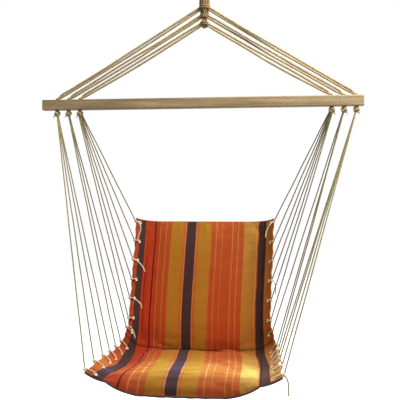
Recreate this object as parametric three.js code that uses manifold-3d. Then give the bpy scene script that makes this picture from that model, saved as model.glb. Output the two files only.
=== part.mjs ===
// A hammock chair: a padded cloth seat and back, laced at both sides to cotton strings that hang from a
// wooden spreader bar, and six doubled ropes that gather above the bar into one hanging loop.
// Units are millimetres. X runs along the bar, Y from the front of the chair to its back, Z up.
// The origin is the point of the hanging loop that bears on its hook.

import * as THREE from "three";
import { mergeVertices } from "three/addons/utils/BufferGeometryUtils.js";
import Module from "manifold-3d";

const wasm = await Module();
wasm.setup();

// Clearance between pieces that touch, and how far a cutter runs past what it cuts
const CLEARANCE = 0.35;
const OVERRUN = 5;

// Hanging loop and the round knot at its throat
const EYE_ROPE_DIAMETER = 11;
const EYE_WIDTH = 44;
const THROAT_DROP = 76;
const THROAT_KNOT_RADIUS = 13;
const EYE_LEG_SHARE = 0.42;
const EYE_SEIZING_RADIUS = 12;
const EYE_SEIZING_HEIGHT = 15;

// Right half of the loop from its neck to its top, as shares of its half width and of its height
const EYE_OUTLINE_SHARES = [[1, 0.5], [0.85, 0.82]];
// Outline of the seizing, as shares of its radius and of its height
const EYE_SEIZING_SHARES = [[0, 0], [0.55, 0], [1, 0.3], [1, 0.8], [0.8, 1], [0, 1]];

// Bundle of ropes under the throat: where each pair of ropes leaves it, and how thick it is there
const TIER_DROPS = { outer: 117, middle: 141, inner: 166 };
const BUNDLE_TOP_RADIUS = 17.5;
const BUNDLE_BOTTOM_RADIUS = 12;
const BUNDLE_TIER_BULGE = 1.5;
const BUNDLE_TIER_REACH = 9;
const BUNDLE_TAPER_SHARES = { start: 0.2, end: 0.7 };
const BUNDLE_ROUNDING_SHARE = 0.7;
const BUNDLE_STRANDS = 6;
const STRAND_GROOVE = 1.6;

// Suspension ropes: two strands side by side
const ROPE_DIAMETER = 7;
const STRAND_SPACING = 6.6;
const ROPE_BEND_RADIUS = 12;
const STOPPER_KNOT_RADIUS = 10.5;

// Spreader bar
const BAR_DROP = 412;
const BAR_HEIGHT = 33;
const BAR_DEPTH = 26;
const BAR_CORNER_RADIUS = 4;
const BAR_END_SOFTENING = 1.5;
const HOLE_PITCH = 37;
const OUTER_HOLES_APART = 938;
const OUTER_HOLES_MIDDLE_X = -4;
const LEFT_END_MARGIN = 46;
const RIGHT_END_MARGIN = 22;
const HOLE_DIAMETER = ROPE_DIAMETER + STRAND_SPACING + 1.2;

// Sling: the cloth that makes the seat and the back, bent at the crease between them
const SLING_MIDDLE_X = -17;
const SEAT_DRIFT = 11;
const BAR_TO_BACK_TOP = 379;
const BACK_TOP_Y = 235;
const BACK_LENGTH = 446;
const BACK_LEAN_DEG = 11.4;
const SEAT_LENGTH = 470;
const SEAT_RISE_DEG = 2;
const CREASE_RADIUS = 18;
const EDGE_CREASE_RADIUS = 114;
const CREASE_FLARE_START = 90;
const CLOTH_HALF_WIDTH = 269;

// Across the sling its middle lies flat and its edges curl towards the sitter: most on the back, tightly
// along the seat, and in a wide bowl at the front edge
const BACK_FLAT_HALF_WIDTH = 150;
const SEAT_FLAT_HALF_WIDTH = 184;
const FRONT_FLAT_HALF_WIDTH = 105;
const BACK_CURL_DEG = 81;
const SEAT_CURL_DEG = 60;
const FRONT_CURL_DEG = 27;
// Where one curl starts to turn into the next and where it has done so, as shares of the back and of the seat
const CREASE_CURL_SHARES = [-0.3, 0.26];
const FRONT_CURL_SHARES = [0.45, 1];

// Padding and cloth
const PAD_HALF_WIDTH = 207;
const PAD_EDGE_THICKNESS = 4.5;
const BACK_PAD_THICKNESS = 30;
const SEAT_PAD_THICKNESS = 44;
const PAD_CREASE_GAP = 16;
const PAD_CROWN_POWER = 4;
const LIP_RADIUS = 15;
const CLOTH_THICKNESS = 0.8;

// Side hems and their eyelets
const HEM_THICKNESS = 2.4;
const EYELET_INSET = 28;
const EYELET_OUTER_RADIUS = 6.8;
const EYELET_HOLE_RADIUS = 3.9;
const EYELET_PROUD = 0.6;
const BACK_EYELETS = 7;
const SEAT_EYELETS = 6;
const BACK_TOP_TO_EYELET = 12;
const CREASE_TO_BACK_EYELET = 46;
const CREASE_TO_SEAT_EYELET = 64;
const SEAT_FRONT_TO_EYELET = 20;

// Harness strings
const STRING_DIAMETER = 3.6;
const STRING_SIDES = 6;
const TAIL_SIDES = 8;
const HEM_KNOT_RADIUS = 4.8;
const HEM_KNOT_SIDE_SHARE = 0.62;
const HEM_KNOT_DEPTH_SHARE = 0.8;
const EYELET_BEND_RADIUS = 4.6;
const EYELET_BEND_DEG = 60;

// How many strings hang from each hole of one side, from the back of the sling to its front
const STRINGS_PER_HOLE = { inner: 6, middle: 3, outer: 4 };

const cotton = { color: 0xc9b891, roughness: 0.9, metalness: 0 };
const wood = { color: 0xa78a58, roughness: 0.6, metalness: 0 };
const stripedCloth = { color: 0xc05a24, roughness: 0.85, metalness: 0 };
const plainCloth = { color: 0x8a3d20, roughness: 0.9, metalness: 0 };
const filling = { color: 0xe8e4da, roughness: 1, metalness: 0 };
const hemCloth = { color: 0x9a4622, roughness: 0.85, metalness: 0 };

const SIDES = { left: -1, right: 1 };
const HOLES = ["outer", "middle", "inner"];
const radians = THREE.MathUtils.degToRad;
const along = (from, to, share) => from + (to - from) * share;
const spaced = (from, to, count) =>
  Array.from({ length: count }, (_, i) => along(from, to, i / (count - 1)));

const chair = new THREE.Group();

// Adds one named piece to a group
function addPiece(group, name, geometry, finish) {
  const piece = new THREE.Mesh(geometry, new THREE.MeshStandardMaterial(finish));
  piece.name = name;
  group.add(piece);
  return piece;
}

// Solid from a closed geometry, for joining and cutting
function solidOf(geometry) {
  const bare = new THREE.BufferGeometry();
  bare.setAttribute("position", geometry.getAttribute("position"));
  bare.setIndex(geometry.index);
  const merged = mergeVertices(bare);
  const mesh = new wasm.Mesh({
    numProp: 3,
    vertProperties: new Float32Array(merged.attributes.position.array),
    triVerts: new Uint32Array(merged.index.array),
  });
  return new wasm.Manifold(mesh);
}

function geometryOf(solid) {
  const { vertProperties, triVerts } = solid.getMesh();
  const geometry = new THREE.BufferGeometry();
  geometry.setAttribute("position", new THREE.BufferAttribute(vertProperties, 3));
  geometry.setIndex(new THREE.BufferAttribute(triVerts, 1));
  geometry.computeVertexNormals();
  return geometry;
}

function joined(...geometries) {
  const solids = geometries.map(solidOf);
  return geometryOf(solids.reduce((whole, next) => whole.add(next)));
}

// Closed geometry from points and triangles, with its faces turned outwards
function closedGeometry(points, triangles) {
  const crossed = new THREE.Vector3();
  const volume = triangles.reduce((sum, [a, b, c]) => {
    crossed.crossVectors(points[b], points[c]);
    return sum + points[a].dot(crossed);
  }, 0);
  const facing = volume < 0 ? triangles.map(([a, b, c]) => [a, c, b]) : triangles;
  const geometry = new THREE.BufferGeometry().setFromPoints(points);
  geometry.setIndex(facing.flat());
  geometry.computeVertexNormals();
  return geometry;
}

// Skin over a row of rings that each have the same number of points, closed at both ends
function loft(rings) {
  const count = rings[0].length;
  const points = rings.flat();
  const triangles = [];
  for (let ring = 0; ring < rings.length - 1; ring += 1) {
    for (let i = 0; i < count; i += 1) {
      const a = ring * count + i;
      const b = ring * count + ((i + 1) % count);
      triangles.push([a, b, b + count], [a, b + count, a + count]);
    }
  }
  for (const [ring, turn] of [[0, 1], [rings.length - 1, -1]]) {
    const middle = new THREE.Vector3();
    rings[ring].forEach((point) => middle.addScaledVector(point, 1 / count));
    const hub = points.push(middle) - 1;
    for (let i = 0; i < count; i += 1) {
      const a = ring * count + i;
      const b = ring * count + ((i + 1) % count);
      triangles.push(turn > 0 ? [hub, b, a] : [hub, a, b]);
    }
  }
  return closedGeometry(points, triangles);
}

// Plate between two grids of points that lie over each other
function plate(over, under) {
  const rows = over.length;
  const columns = over[0].length;
  const points = [...over.flat(), ...under.flat()];
  const below = rows * columns;
  const triangles = [];
  const at = (row, column) => row * columns + column;
  for (let row = 0; row < rows - 1; row += 1) {
    for (let column = 0; column < columns - 1; column += 1) {
      const [a, b] = [at(row, column), at(row, column + 1)];
      const [c, d] = [at(row + 1, column + 1), at(row + 1, column)];
      triangles.push([a, b, c], [a, c, d]);
      triangles.push([below + a, below + c, below + b], [below + a, below + d, below + c]);
    }
  }
  const rim = [];
  for (let column = 0; column < columns - 1; column += 1) rim.push(at(0, column));
  for (let row = 0; row < rows - 1; row += 1) rim.push(at(row, columns - 1));
  for (let column = columns - 1; column > 0; column -= 1) rim.push(at(rows - 1, column));
  for (let row = rows - 1; row > 0; row -= 1) rim.push(at(row, 0));
  rim.forEach((a, i) => {
    const b = rim[(i + 1) % rim.length];
    triangles.push([a, below + a, below + b], [a, below + b, b]);
  });
  return closedGeometry(points, triangles);
}

// A route whose equal steps land on its listed points
class Route extends THREE.Curve {
  constructor(points) {
    super();
    this.points = points;
  }

  getPointAt(share, target = new THREE.Vector3()) {
    const place = share * (this.points.length - 1);
    const start = Math.min(Math.floor(place + Number.EPSILON), this.points.length - 2);
    return target.lerpVectors(this.points[start], this.points[start + 1], place - start);
  }

  getTangentAt(share, target = new THREE.Vector3()) {
    const place = Math.round(share * (this.points.length - 1));
    const before = this.points[Math.max(place - 1, 0)];
    const after = this.points[Math.min(place + 1, this.points.length - 1)];
    return target.subVectors(after, before).normalize();
  }
}

// Round tube along a curve
function tube(curve, diameter, sides, steps) {
  const corners = Array.from({ length: sides }, (_, i) => {
    const turn = (2 * Math.PI * i) / sides;
    return new THREE.Vector2(Math.cos(turn), Math.sin(turn)).multiplyScalar(diameter / 2);
  });
  return new THREE.ExtrudeGeometry(new THREE.Shape(corners), { steps, extrudePath: curve });
}

function tubeThrough(points, diameter, sides) {
  return tube(new Route(points), diameter, sides, points.length - 1);
}

function ball(radius, centre, around, down) {
  return new THREE.SphereGeometry(radius, around, down).translate(centre.x, centre.y, centre.z);
}

// Hanging loop: a rope bent into an eye, its two legs seized together above the throat
const throat = new THREE.Vector3(0, 0, -THROAT_DROP);

function hangingEye() {
  const top = EYE_ROPE_DIAMETER / 2;
  const leg = EYE_ROPE_DIAMETER * EYE_LEG_SHARE;
  const bottom = -THROAT_DROP + THROAT_KNOT_RADIUS + CLEARANCE;
  const legEnd = bottom + EYE_SEIZING_HEIGHT / 2;
  const neck = legEnd + EYE_SEIZING_HEIGHT;
  const outline = EYE_OUTLINE_SHARES.map(([out, up]) => [out * EYE_WIDTH / 2, along(neck, top, up)]);
  const half = [[leg, legEnd], [leg, neck], ...outline];
  const points = [
    ...half.map(([x, z]) => new THREE.Vector3(x, 0, z)),
    new THREE.Vector3(0, 0, top),
    ...half.toReversed().map(([x, z]) => new THREE.Vector3(-x, 0, z)),
  ];
  const rope = tube(new THREE.CatmullRomCurve3(points), EYE_ROPE_DIAMETER, 8, 18);
  const profile = EYE_SEIZING_SHARES.map(([out, up]) =>
    new THREE.Vector2(EYE_SEIZING_RADIUS * out, EYE_SEIZING_HEIGHT * up));
  const seizing = new THREE.LatheGeometry(profile, 12).rotateX(Math.PI / 2).translate(0, 0, bottom);
  return joined(rope, seizing);
}

addPiece(chair, "hanging_eye", hangingEye(), cotton);
addPiece(chair, "throat_knot", ball(THROAT_KNOT_RADIUS, throat, 12, 8), cotton);

// Rope bundle: strands side by side, drawn in below each pair of ropes that leaves it
const bundleTop = -THROAT_DROP - THROAT_KNOT_RADIUS - CLEARANCE;
const bundleBottom = -TIER_DROPS.inner - BUNDLE_TIER_REACH;

function bundleRadius(z) {
  const { start, end } = BUNDLE_TAPER_SHARES;
  const share = THREE.MathUtils.smoothstep((bundleTop - z) / (bundleTop - bundleBottom), start, end);
  const tier = Math.min(...Object.values(TIER_DROPS).map((drop) => Math.abs(z + drop)));
  const bulge = BUNDLE_TIER_BULGE * Math.max(0, 1 - tier / BUNDLE_TIER_REACH);
  return along(BUNDLE_TOP_RADIUS, BUNDLE_BOTTOM_RADIUS, share) + bulge;
}

function ropeBundle() {
  const levels = [bundleTop];
  for (const drop of Object.values(TIER_DROPS)) levels.push(BUNDLE_TIER_REACH - drop, -drop);
  levels.push(along(-TIER_DROPS.inner, bundleBottom, BUNDLE_ROUNDING_SHARE), bundleBottom);
  const pointsAround = BUNDLE_STRANDS * 4;
  const rings = levels.map((z, level) =>
    Array.from({ length: pointsAround }, (_, i) => {
      const turn = (2 * Math.PI * i) / pointsAround;
      const groove = STRAND_GROOVE * Math.abs(Math.sin((BUNDLE_STRANDS / 2) * turn));
      const end = level === levels.length - 1 ? BUNDLE_TIER_BULGE * 2 : 0;
      const radius = bundleRadius(z) - groove - end;
      return new THREE.Vector3(radius * Math.cos(turn), radius * Math.sin(turn), z);
    }),
  );
  return loft(rings);
}

addPiece(chair, "rope_bundle", ropeBundle(), cotton);

// Spreader bar with its six rope holes
const barTop = -BAR_DROP + BAR_HEIGHT / 2;
const barBottom = -BAR_DROP - BAR_HEIGHT / 2;
const knotHeight = barBottom - CLEARANCE - STOPPER_KNOT_RADIUS;
const holePlace = (side, hole) =>
  OUTER_HOLES_MIDDLE_X + SIDES[side] * (OUTER_HOLES_APART / 2 - HOLES.indexOf(hole) * HOLE_PITCH);

function spreaderBar() {
  const left = holePlace("left", "outer") - LEFT_END_MARGIN;
  const right = holePlace("right", "outer") + RIGHT_END_MARGIN;
  const soft = BAR_END_SOFTENING;
  const wide = BAR_DEPTH / 2 - BAR_CORNER_RADIUS;
  const high = BAR_HEIGHT / 2 - BAR_CORNER_RADIUS;
  const radius = BAR_CORNER_RADIUS - soft;
  const section = new THREE.Shape();
  section.absarc(wide, high, radius, 0, Math.PI / 2);
  section.absarc(-wide, high, radius, Math.PI / 2, Math.PI);
  section.absarc(-wide, -high, radius, Math.PI, 1.5 * Math.PI);
  section.absarc(wide, -high, radius, 1.5 * Math.PI, 2 * Math.PI);
  const bar = new THREE.ExtrudeGeometry(section, {
    depth: right - left - 2 * soft,
    curveSegments: 3,
    bevelSize: soft,
    bevelThickness: soft,
    bevelSegments: 1,
  });
  bar.translate(0, 0, left + soft).rotateX(Math.PI / 2).rotateZ(Math.PI / 2).translate(0, 0, -BAR_DROP);
  let solid = solidOf(bar);
  for (const side of Object.keys(SIDES)) {
    for (const hole of HOLES) {
      const drill = new THREE.CylinderGeometry(
        HOLE_DIAMETER / 2, HOLE_DIAMETER / 2, BAR_HEIGHT + 2 * OVERRUN, 12,
      );
      drill.rotateX(Math.PI / 2).translate(holePlace(side, hole), 0, -BAR_DROP);
      solid = solid.subtract(solidOf(drill));
    }
  }
  return geometryOf(solid);
}

addPiece(chair, "spreader_bar", spreaderBar(), wood);

// Suspension rope: from the side of the bundle to its hole, down through the bar and into a stopper knot
function strandPairSection(middle, across) {
  const depth = new THREE.Vector3(0, 1, 0);
  const lobe = [-100, -50, 0, 50, 100].map(radians);
  return [1, -1].flatMap((way) =>
    lobe.map((turn) => {
      const out = way * (STRAND_SPACING / 2 + (ROPE_DIAMETER / 2) * Math.cos(turn));
      const over = way * (ROPE_DIAMETER / 2) * Math.sin(turn);
      return middle.clone().addScaledVector(across, out).addScaledVector(depth, over);
    }),
  );
}

function suspensionRope(side, hole) {
  const way = SIDES[side];
  const holeX = holePlace(side, hole);
  const startZ = -TIER_DROPS[hole];
  const startX = way * (bundleRadius(startZ) + CLEARANCE);
  const bendEnd = barTop + CLEARANCE;
  const slope = Math.atan2(startZ - bendEnd - ROPE_BEND_RADIUS, Math.abs(holeX - startX));
  const middles = [new THREE.Vector3(startX, 0, startZ)];
  const directions = [-slope];
  for (const turn of spaced(-slope, -Math.PI / 2, 4)) {
    const x = holeX - way * ROPE_BEND_RADIUS * (1 + Math.sin(turn));
    const z = bendEnd + ROPE_BEND_RADIUS * Math.cos(turn);
    middles.push(new THREE.Vector3(x, 0, z));
    directions.push(turn);
  }
  middles.push(new THREE.Vector3(holeX, 0, knotHeight));
  directions.push(-Math.PI / 2);
  const rings = middles.map((middle, i) => {
    const square = new THREE.Vector3(-way * Math.sin(directions[i]), 0, Math.cos(directions[i]));
    const across = i === 0 ? new THREE.Vector3(0, 0, 1 / Math.cos(slope)) : square;
    return strandPairSection(middle, across);
  });
  const knot = ball(STOPPER_KNOT_RADIUS, middles.at(-1), 12, 8);
  return joined(loft(rings), knot);
}

for (const side of Object.keys(SIDES)) {
  for (const hole of HOLES) {
    addPiece(chair, `suspension_rope_${side}_${hole}`, suspensionRope(side, hole), cotton);
  }
}

// Centre line of the sling, seen from its side: a straight back, an arc at the crease and a straight seat.
// place is the distance along the cloth from the crease, below zero on the back and above it on the seat.
const backHeading = -radians(90 + BACK_LEAN_DEG);
const seatHeading = -radians(180 + SEAT_RISE_DEG);
const creaseTurn = backHeading - seatHeading;
const creaseReach = EDGE_CREASE_RADIUS * Math.tan(creaseTurn / 2);
const travel = (heading) => new THREE.Vector3(0, Math.cos(heading), Math.sin(heading));
const facing = (heading) => new THREE.Vector3(0, Math.sin(heading), -Math.cos(heading));
const crease = new THREE.Vector3(SLING_MIDDLE_X, BACK_TOP_Y, -BAR_DROP - BAR_TO_BACK_TOP);
crease.addScaledVector(travel(backHeading), BACK_LENGTH);

function centreLine(place, radius) {
  const reach = radius * Math.tan(creaseTurn / 2);
  if (Math.abs(place) >= reach) {
    const heading = place < 0 ? backHeading : seatHeading;
    return { point: crease.clone().addScaledVector(travel(heading), place), heading };
  }
  const heading = backHeading - creaseTurn * ((place + reach) / (2 * reach));
  const hub = crease.clone().addScaledVector(travel(backHeading), -reach);
  hub.addScaledVector(facing(backHeading), radius);
  return { point: hub.addScaledVector(facing(heading), -radius), heading };
}

function curlAt(place) {
  const [onBack, onSeat] = CREASE_CURL_SHARES;
  const pastCrease = THREE.MathUtils.smoothstep(place, onBack * BACK_LENGTH, onSeat * SEAT_LENGTH);
  const [frontStart, frontEnd] = FRONT_CURL_SHARES.map((share) => share * SEAT_LENGTH);
  const atFront = THREE.MathUtils.smoothstep(place, frontStart, frontEnd);
  const seatFlatHalf = along(BACK_FLAT_HALF_WIDTH, SEAT_FLAT_HALF_WIDTH, pastCrease);
  const seatCurl = along(BACK_CURL_DEG, SEAT_CURL_DEG, pastCrease);
  return {
    flatHalf: along(seatFlatHalf, FRONT_FLAT_HALF_WIDTH, atFront),
    curl: radians(along(seatCurl, FRONT_CURL_DEG, atFront)),
  };
}

// Point of the sling's middle surface. across is the distance along the cloth from its middle.
// Beyond its flat part the cloth curls towards the sitter in a round arc.
function slingPoint(place, across) {
  const out = Math.abs(across);
  const flare = Math.max(0, (out - CREASE_FLARE_START) / (CLOTH_HALF_WIDTH - CREASE_FLARE_START));
  const { point, heading } = centreLine(place, along(CREASE_RADIUS, EDGE_CREASE_RADIUS, flare));
  const { flatHalf, curl } = curlAt(place);
  const curlRadius = (CLOTH_HALF_WIDTH - flatHalf) / curl;
  const turn = Math.max(0, out - flatHalf) / curlRadius;
  const x = Math.min(out, flatHalf) + curlRadius * Math.sin(turn);
  const drift = SEAT_DRIFT * THREE.MathUtils.smoothstep(place, -BACK_LENGTH, -creaseReach);
  point.x += Math.sign(across) * x - drift;
  return point.addScaledVector(facing(heading), curlRadius * (1 - Math.cos(turn)));
}

// Directions at a point of the sling: out to the side, and square to the cloth on the sitter's side
function slingFrame(place, across) {
  const step = CLEARANCE;
  const outward = slingPoint(place, across + step).sub(slingPoint(place, across - step)).normalize();
  const onward = slingPoint(place + step, across).sub(slingPoint(place - step, across)).normalize();
  const square = new THREE.Vector3().crossVectors(onward, outward).normalize();
  return { point: slingPoint(place, across), outward: outward.multiplyScalar(Math.sign(across)), square };
}

function offSling(place, across, height) {
  const { point, square } = slingFrame(place, across);
  return point.addScaledVector(square, height);
}

// Thickness of the padded part, crowned along and across
function padThickness(place, across) {
  const onBack = place < 0;
  const fromMiddle = onBack ? Math.abs(1 + (2 * place) / BACK_LENGTH) : 1 - place / SEAT_LENGTH;
  const lengthCrown = Math.max(0, 1 - fromMiddle ** PAD_CROWN_POWER);
  const widthCrown = 1 - Math.abs(across / PAD_HALF_WIDTH) ** PAD_CROWN_POWER;
  const most = onBack ? BACK_PAD_THICKNESS : SEAT_PAD_THICKNESS;
  return along(PAD_EDGE_THICKNESS, most, lengthCrown * widthCrown);
}

// Rows across the sling, closer together round the crease, that the cloths, padding and hems all share
const lipStart = SEAT_LENGTH - LIP_RADIUS;
const backRows = [
  ...spaced(-BACK_LENGTH, -creaseReach, 6),
  ...spaced(-creaseReach, -PAD_CREASE_GAP, 4).slice(1),
];
const seatRows = [
  ...spaced(PAD_CREASE_GAP, creaseReach, 4),
  ...spaced(creaseReach, lipStart, 6).slice(1),
];
const padColumns = spaced(-PAD_HALF_WIDTH, PAD_HALF_WIDTH, 11);
const lipTurns = [30, 60, 90].map(radians);
const underLipRows = spaced(lipStart, SEAT_LENGTH, lipTurns.length + 2).slice(1);

// Sitter's side of the cover at the given rows, moved in from its outer face by inset
function overRows(rows, inset) {
  return rows.map((place) =>
    padColumns.map((across) => offSling(place, across, padThickness(place, across) / 2 - inset)));
}

// Front lip: the cover rolls over the padding and runs down to the bottom seam
function lipRows(inset) {
  const half = (across) => padThickness(SEAT_LENGTH, across) / 2;
  const roll = lipTurns.map((turn) =>
    padColumns.map((across) => {
      const radius = Math.min(LIP_RADIUS, half(across)) - inset;
      const place = SEAT_LENGTH - inset - radius * (1 - Math.sin(turn));
      return offSling(place, across, half(across) - inset - radius * (1 - Math.cos(turn)));
    }));
  const seam = padColumns.map((across) =>
    offSling(SEAT_LENGTH - inset, across, -half(across) + CLOTH_THICKNESS + CLEARANCE));
  return [...roll, seam];
}

function underRows(rows, inset) {
  return rows.map((place) =>
    padColumns.map((across) => offSling(place, across, -padThickness(place, across) / 2 + inset)));
}

const layer = CLOTH_THICKNESS + CLEARANCE;

function frontCloth() {
  const grid = (inset) => [...overRows([...backRows, 0, ...seatRows], inset), ...lipRows(inset)];
  return plate(grid(0), grid(CLOTH_THICKNESS));
}

function rearCloth() {
  const rows = [...backRows, 0, ...seatRows, ...underLipRows];
  return plate(underRows(rows, CLOTH_THICKNESS), underRows(rows, 0));
}

function backPadding() {
  return plate(overRows(backRows, layer), underRows(backRows, layer));
}

function seatPadding() {
  const under = [...seatRows, ...underLipRows.map((place) => Math.min(place, SEAT_LENGTH - layer))];
  return plate([...overRows(seatRows, layer), ...lipRows(layer)], underRows(under, layer));
}

addPiece(chair, "front_cloth", frontCloth(), stripedCloth);
addPiece(chair, "rear_cloth", rearCloth(), plainCloth);
addPiece(chair, "back_padding", backPadding(), filling);
addPiece(chair, "seat_padding", seatPadding(), filling);

// Side hems with their eyelets
const backEyelets = spaced(-BACK_LENGTH + BACK_TOP_TO_EYELET, -CREASE_TO_BACK_EYELET, BACK_EYELETS);
const seatEyelets = spaced(CREASE_TO_SEAT_EYELET, SEAT_LENGTH - SEAT_FRONT_TO_EYELET, SEAT_EYELETS);
const eyeletPlaces = [...backEyelets, ...seatEyelets];
const eyeletAcross = CLOTH_HALF_WIDTH - EYELET_INSET;

// Turns and moves a geometry from its own Z axis to square with the cloth at an eyelet
function setAtEyelet(geometry, place, way) {
  const { point, square } = slingFrame(place, way * eyeletAcross);
  const turn = new THREE.Quaternion().setFromUnitVectors(new THREE.Vector3(0, 0, 1), square);
  return geometry.applyQuaternion(turn).translate(point.x, point.y, point.z);
}

function sideHem(side) {
  const way = SIDES[side];
  const columns = spaced(PAD_HALF_WIDTH + CLEARANCE, CLOTH_HALF_WIDTH, 4);
  const rows = [...backRows, 0, ...seatRows, SEAT_LENGTH];
  const face = (height) =>
    rows.map((place) => columns.map((across) => offSling(place, way * across, height)));
  const half = HEM_THICKNESS / 2;
  const high = half + EYELET_PROUD;
  const ringProfile = [
    [EYELET_HOLE_RADIUS, -high],
    [EYELET_OUTER_RADIUS, -high],
    [EYELET_OUTER_RADIUS, high],
    [EYELET_HOLE_RADIUS, high],
    [EYELET_HOLE_RADIUS, -high],
  ].map(([radius, height]) => new THREE.Vector2(radius, height));
  let solid = solidOf(plate(face(half), face(-half)));
  for (const place of eyeletPlaces) {
    const ring = new THREE.LatheGeometry(ringProfile, 10).rotateX(Math.PI / 2);
    const punchRadius = (EYELET_HOLE_RADIUS + EYELET_OUTER_RADIUS) / 2;
    const punch = new THREE.CylinderGeometry(punchRadius, punchRadius, 2 * OVERRUN, 8).rotateX(Math.PI / 2);
    solid = solid.subtract(solidOf(setAtEyelet(punch, place, way)));
    solid = solid.add(solidOf(setAtEyelet(ring, place, way)));
  }
  return geometryOf(solid);
}

for (const side of Object.keys(SIDES)) addPiece(chair, `side_hem_${side}`, sideHem(side), hemCloth);

// Harness strings. Each leaves its stopper knot, is tied at the edge of the hem, and its end loops through
// the eyelet.
function stringHole(index) {
  if (index < STRINGS_PER_HOLE.inner) return "inner";
  return index < STRINGS_PER_HOLE.inner + STRINGS_PER_HOLE.middle ? "middle" : "outer";
}

function hemKnotPlace(side, index) {
  const { point, outward } = slingFrame(eyeletPlaces[index], SIDES[side] * CLOTH_HALF_WIDTH);
  return point.addScaledVector(outward, HEM_KNOT_RADIUS + CLEARANCE);
}

// Where each string of a hole leaves its stopper knot: in a row, in the order of the eyelets, so that
// none crosses
function stringTop(side, index) {
  const hole = stringHole(index);
  const knot = new THREE.Vector3(holePlace(side, hole), 0, knotHeight);
  const members = eyeletPlaces.map((_, i) => i).filter((i) => stringHole(i) === hole);
  const slopes = members.map((i) => {
    const run = hemKnotPlace(side, i).sub(knot);
    return new THREE.Vector3(run.x, run.y, 0).divideScalar(-run.z);
  });
  const row = slopes.at(-1).clone().sub(slopes[0]).normalize();
  const steepest = Math.max(...slopes.map((slope) => Math.hypot(1, slope.length())));
  const pitch = (STRING_DIAMETER + CLEARANCE) * steepest;
  const place = members.indexOf(index) - (members.length - 1) / 2;
  const inRow = knot.clone().addScaledVector(row, place * pitch);
  const direction = hemKnotPlace(side, index).sub(inRow).normalize();
  const toKnot = knot.sub(inRow);
  const level = toKnot.dot(direction);
  const off = Math.max(0, toKnot.addScaledVector(direction, -level).length() - STRING_DIAMETER / 2);
  const clear = Math.sqrt((STOPPER_KNOT_RADIUS + CLEARANCE) ** 2 - off ** 2);
  return inRow.addScaledVector(direction, level + clear);
}

// Point beside the hem: inward is the distance in from its edge, below zero outside the edge
function besideHem(side, index, inward, height) {
  const across = SIDES[side] * (CLOTH_HALF_WIDTH - Math.max(inward, 0));
  const { point, outward, square } = slingFrame(eyeletPlaces[index], across);
  return point.addScaledVector(outward, Math.max(-inward, 0)).addScaledVector(square, height);
}

function harnessString(side, index) {
  const knot = hemKnotPlace(side, index);
  const bend = EYELET_BEND_RADIUS;
  const overHem = HEM_THICKNESS / 2 + EYELET_PROUD + STRING_DIAMETER / 2 + CLEARANCE;
  const bendStart = EYELET_INSET - bend;
  const bendTurn = radians(EYELET_BEND_DEG);
  const half = [
    [-HEM_KNOT_RADIUS * HEM_KNOT_DEPTH_SHARE, HEM_KNOT_RADIUS * HEM_KNOT_SIDE_SHARE],
    [-STRING_DIAMETER / 4, overHem],
    [bendStart, Math.max(bend, overHem)],
    [bendStart + bend * Math.sin(bendTurn), bend * Math.cos(bendTurn)],
  ];
  const loop = [...half, ...half.toReversed().map(([inward, height]) => [inward, -height])];
  const loopPoints = loop.map(([inward, height]) => besideHem(side, index, inward, height));
  return joined(
    tubeThrough([stringTop(side, index), knot], STRING_DIAMETER, STRING_SIDES),
    tubeThrough(loopPoints, STRING_DIAMETER, STRING_SIDES),
    ball(HEM_KNOT_RADIUS, knot, 6, 4),
  );
}

for (const side of Object.keys(SIDES)) {
  eyeletPlaces.forEach((_, index) => {
    const name = `harness_string_${side}_${String(index + 1).padStart(2, "0")}`;
    addPiece(chair, name, harnessString(side, index), cotton);
  });
}

// Free tails of some strings: routes from the middle of the hem knot, chosen by hand. Each point is a share
// of the string's diameter to the right, to the back and up.
const TAIL_ROUTE_SHARES = {
  left: {
    0: [
      [0.4, -1.2, 0.2], [1.7, -3.6, 0.2], [4.2, -5, -1.7],
      [5.8, -5, -5.6], [4.8, -4.8, -10.6], [2.3, -4.4, -18.3],
    ],
    2: [
      [0.3, -1.2, 0.1], [1.7, -3.6, 0], [4.8, -4.8, -1.1],
      [7.8, -5, -3.6], [10.6, -5.6, -6.7], [12.5, -5.8, -10.8],
    ],
    4: [
      [0.3, -1.2, 0.1], [1.7, -3.6, 0.6], [5, -4.8, 0.6],
      [8.3, -5, -1.7], [11.4, -5.2, -4.8], [12.5, -5.8, -8.3],
    ],
    6: [
      [0.2, -1.2, 0.3], [1.4, -3.3, 1.1], [4.2, -4.8, 1.4],
      [6.9, -5, -1.4], [8.3, -5, -5.6], [9.2, -5, -9.2],
    ],
  },
  right: {
    0: [
      [-0.3, -1.2, 0.1], [-1.4, -3.6, 0], [-3.6, -5, -2.3],
      [-5.8, -5, -6.1], [-7.2, -5, -10], [-7.5, -5, -14.2],
    ],
    3: [
      [0.6, -1.1, -0.2], [1.9, -2.8, -1.1], [3.3, -3.6, -3.9],
      [3.6, -3.6, -7.8], [3.1, -3.6, -11.7],
    ],
    10: [
      [0.4, -0.8, -0.9], [1.7, -2.5, -2.8], [1.1, -3.9, -6.7],
      [-0.6, -4.2, -10.6], [-1.4, -3.9, -14.4],
    ],
    12: [
      [0.7, -0.3, -1.1], [2.3, -1.1, -3.6], [3.1, -1.4, -7.8],
      [3.1, -1.1, -11.7], [3.3, -1.4, -15.3],
    ],
  },
};

for (const [side, routes] of Object.entries(TAIL_ROUTE_SHARES)) {
  for (const [index, route] of Object.entries(routes)) {
    const knot = hemKnotPlace(side, Number(index));
    const points = route.map((offset) => new THREE.Vector3(...offset).multiplyScalar(STRING_DIAMETER));
    points[0].setLength(HEM_KNOT_RADIUS + CLEARANCE);
    points.forEach((point) => point.add(knot));
    const name = `string_tail_${side}_${String(Number(index) + 1).padStart(2, "0")}`;
    addPiece(chair, name, tubeThrough(points, STRING_DIAMETER, TAIL_SIDES), cotton);
  }
}

export default chair;
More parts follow.
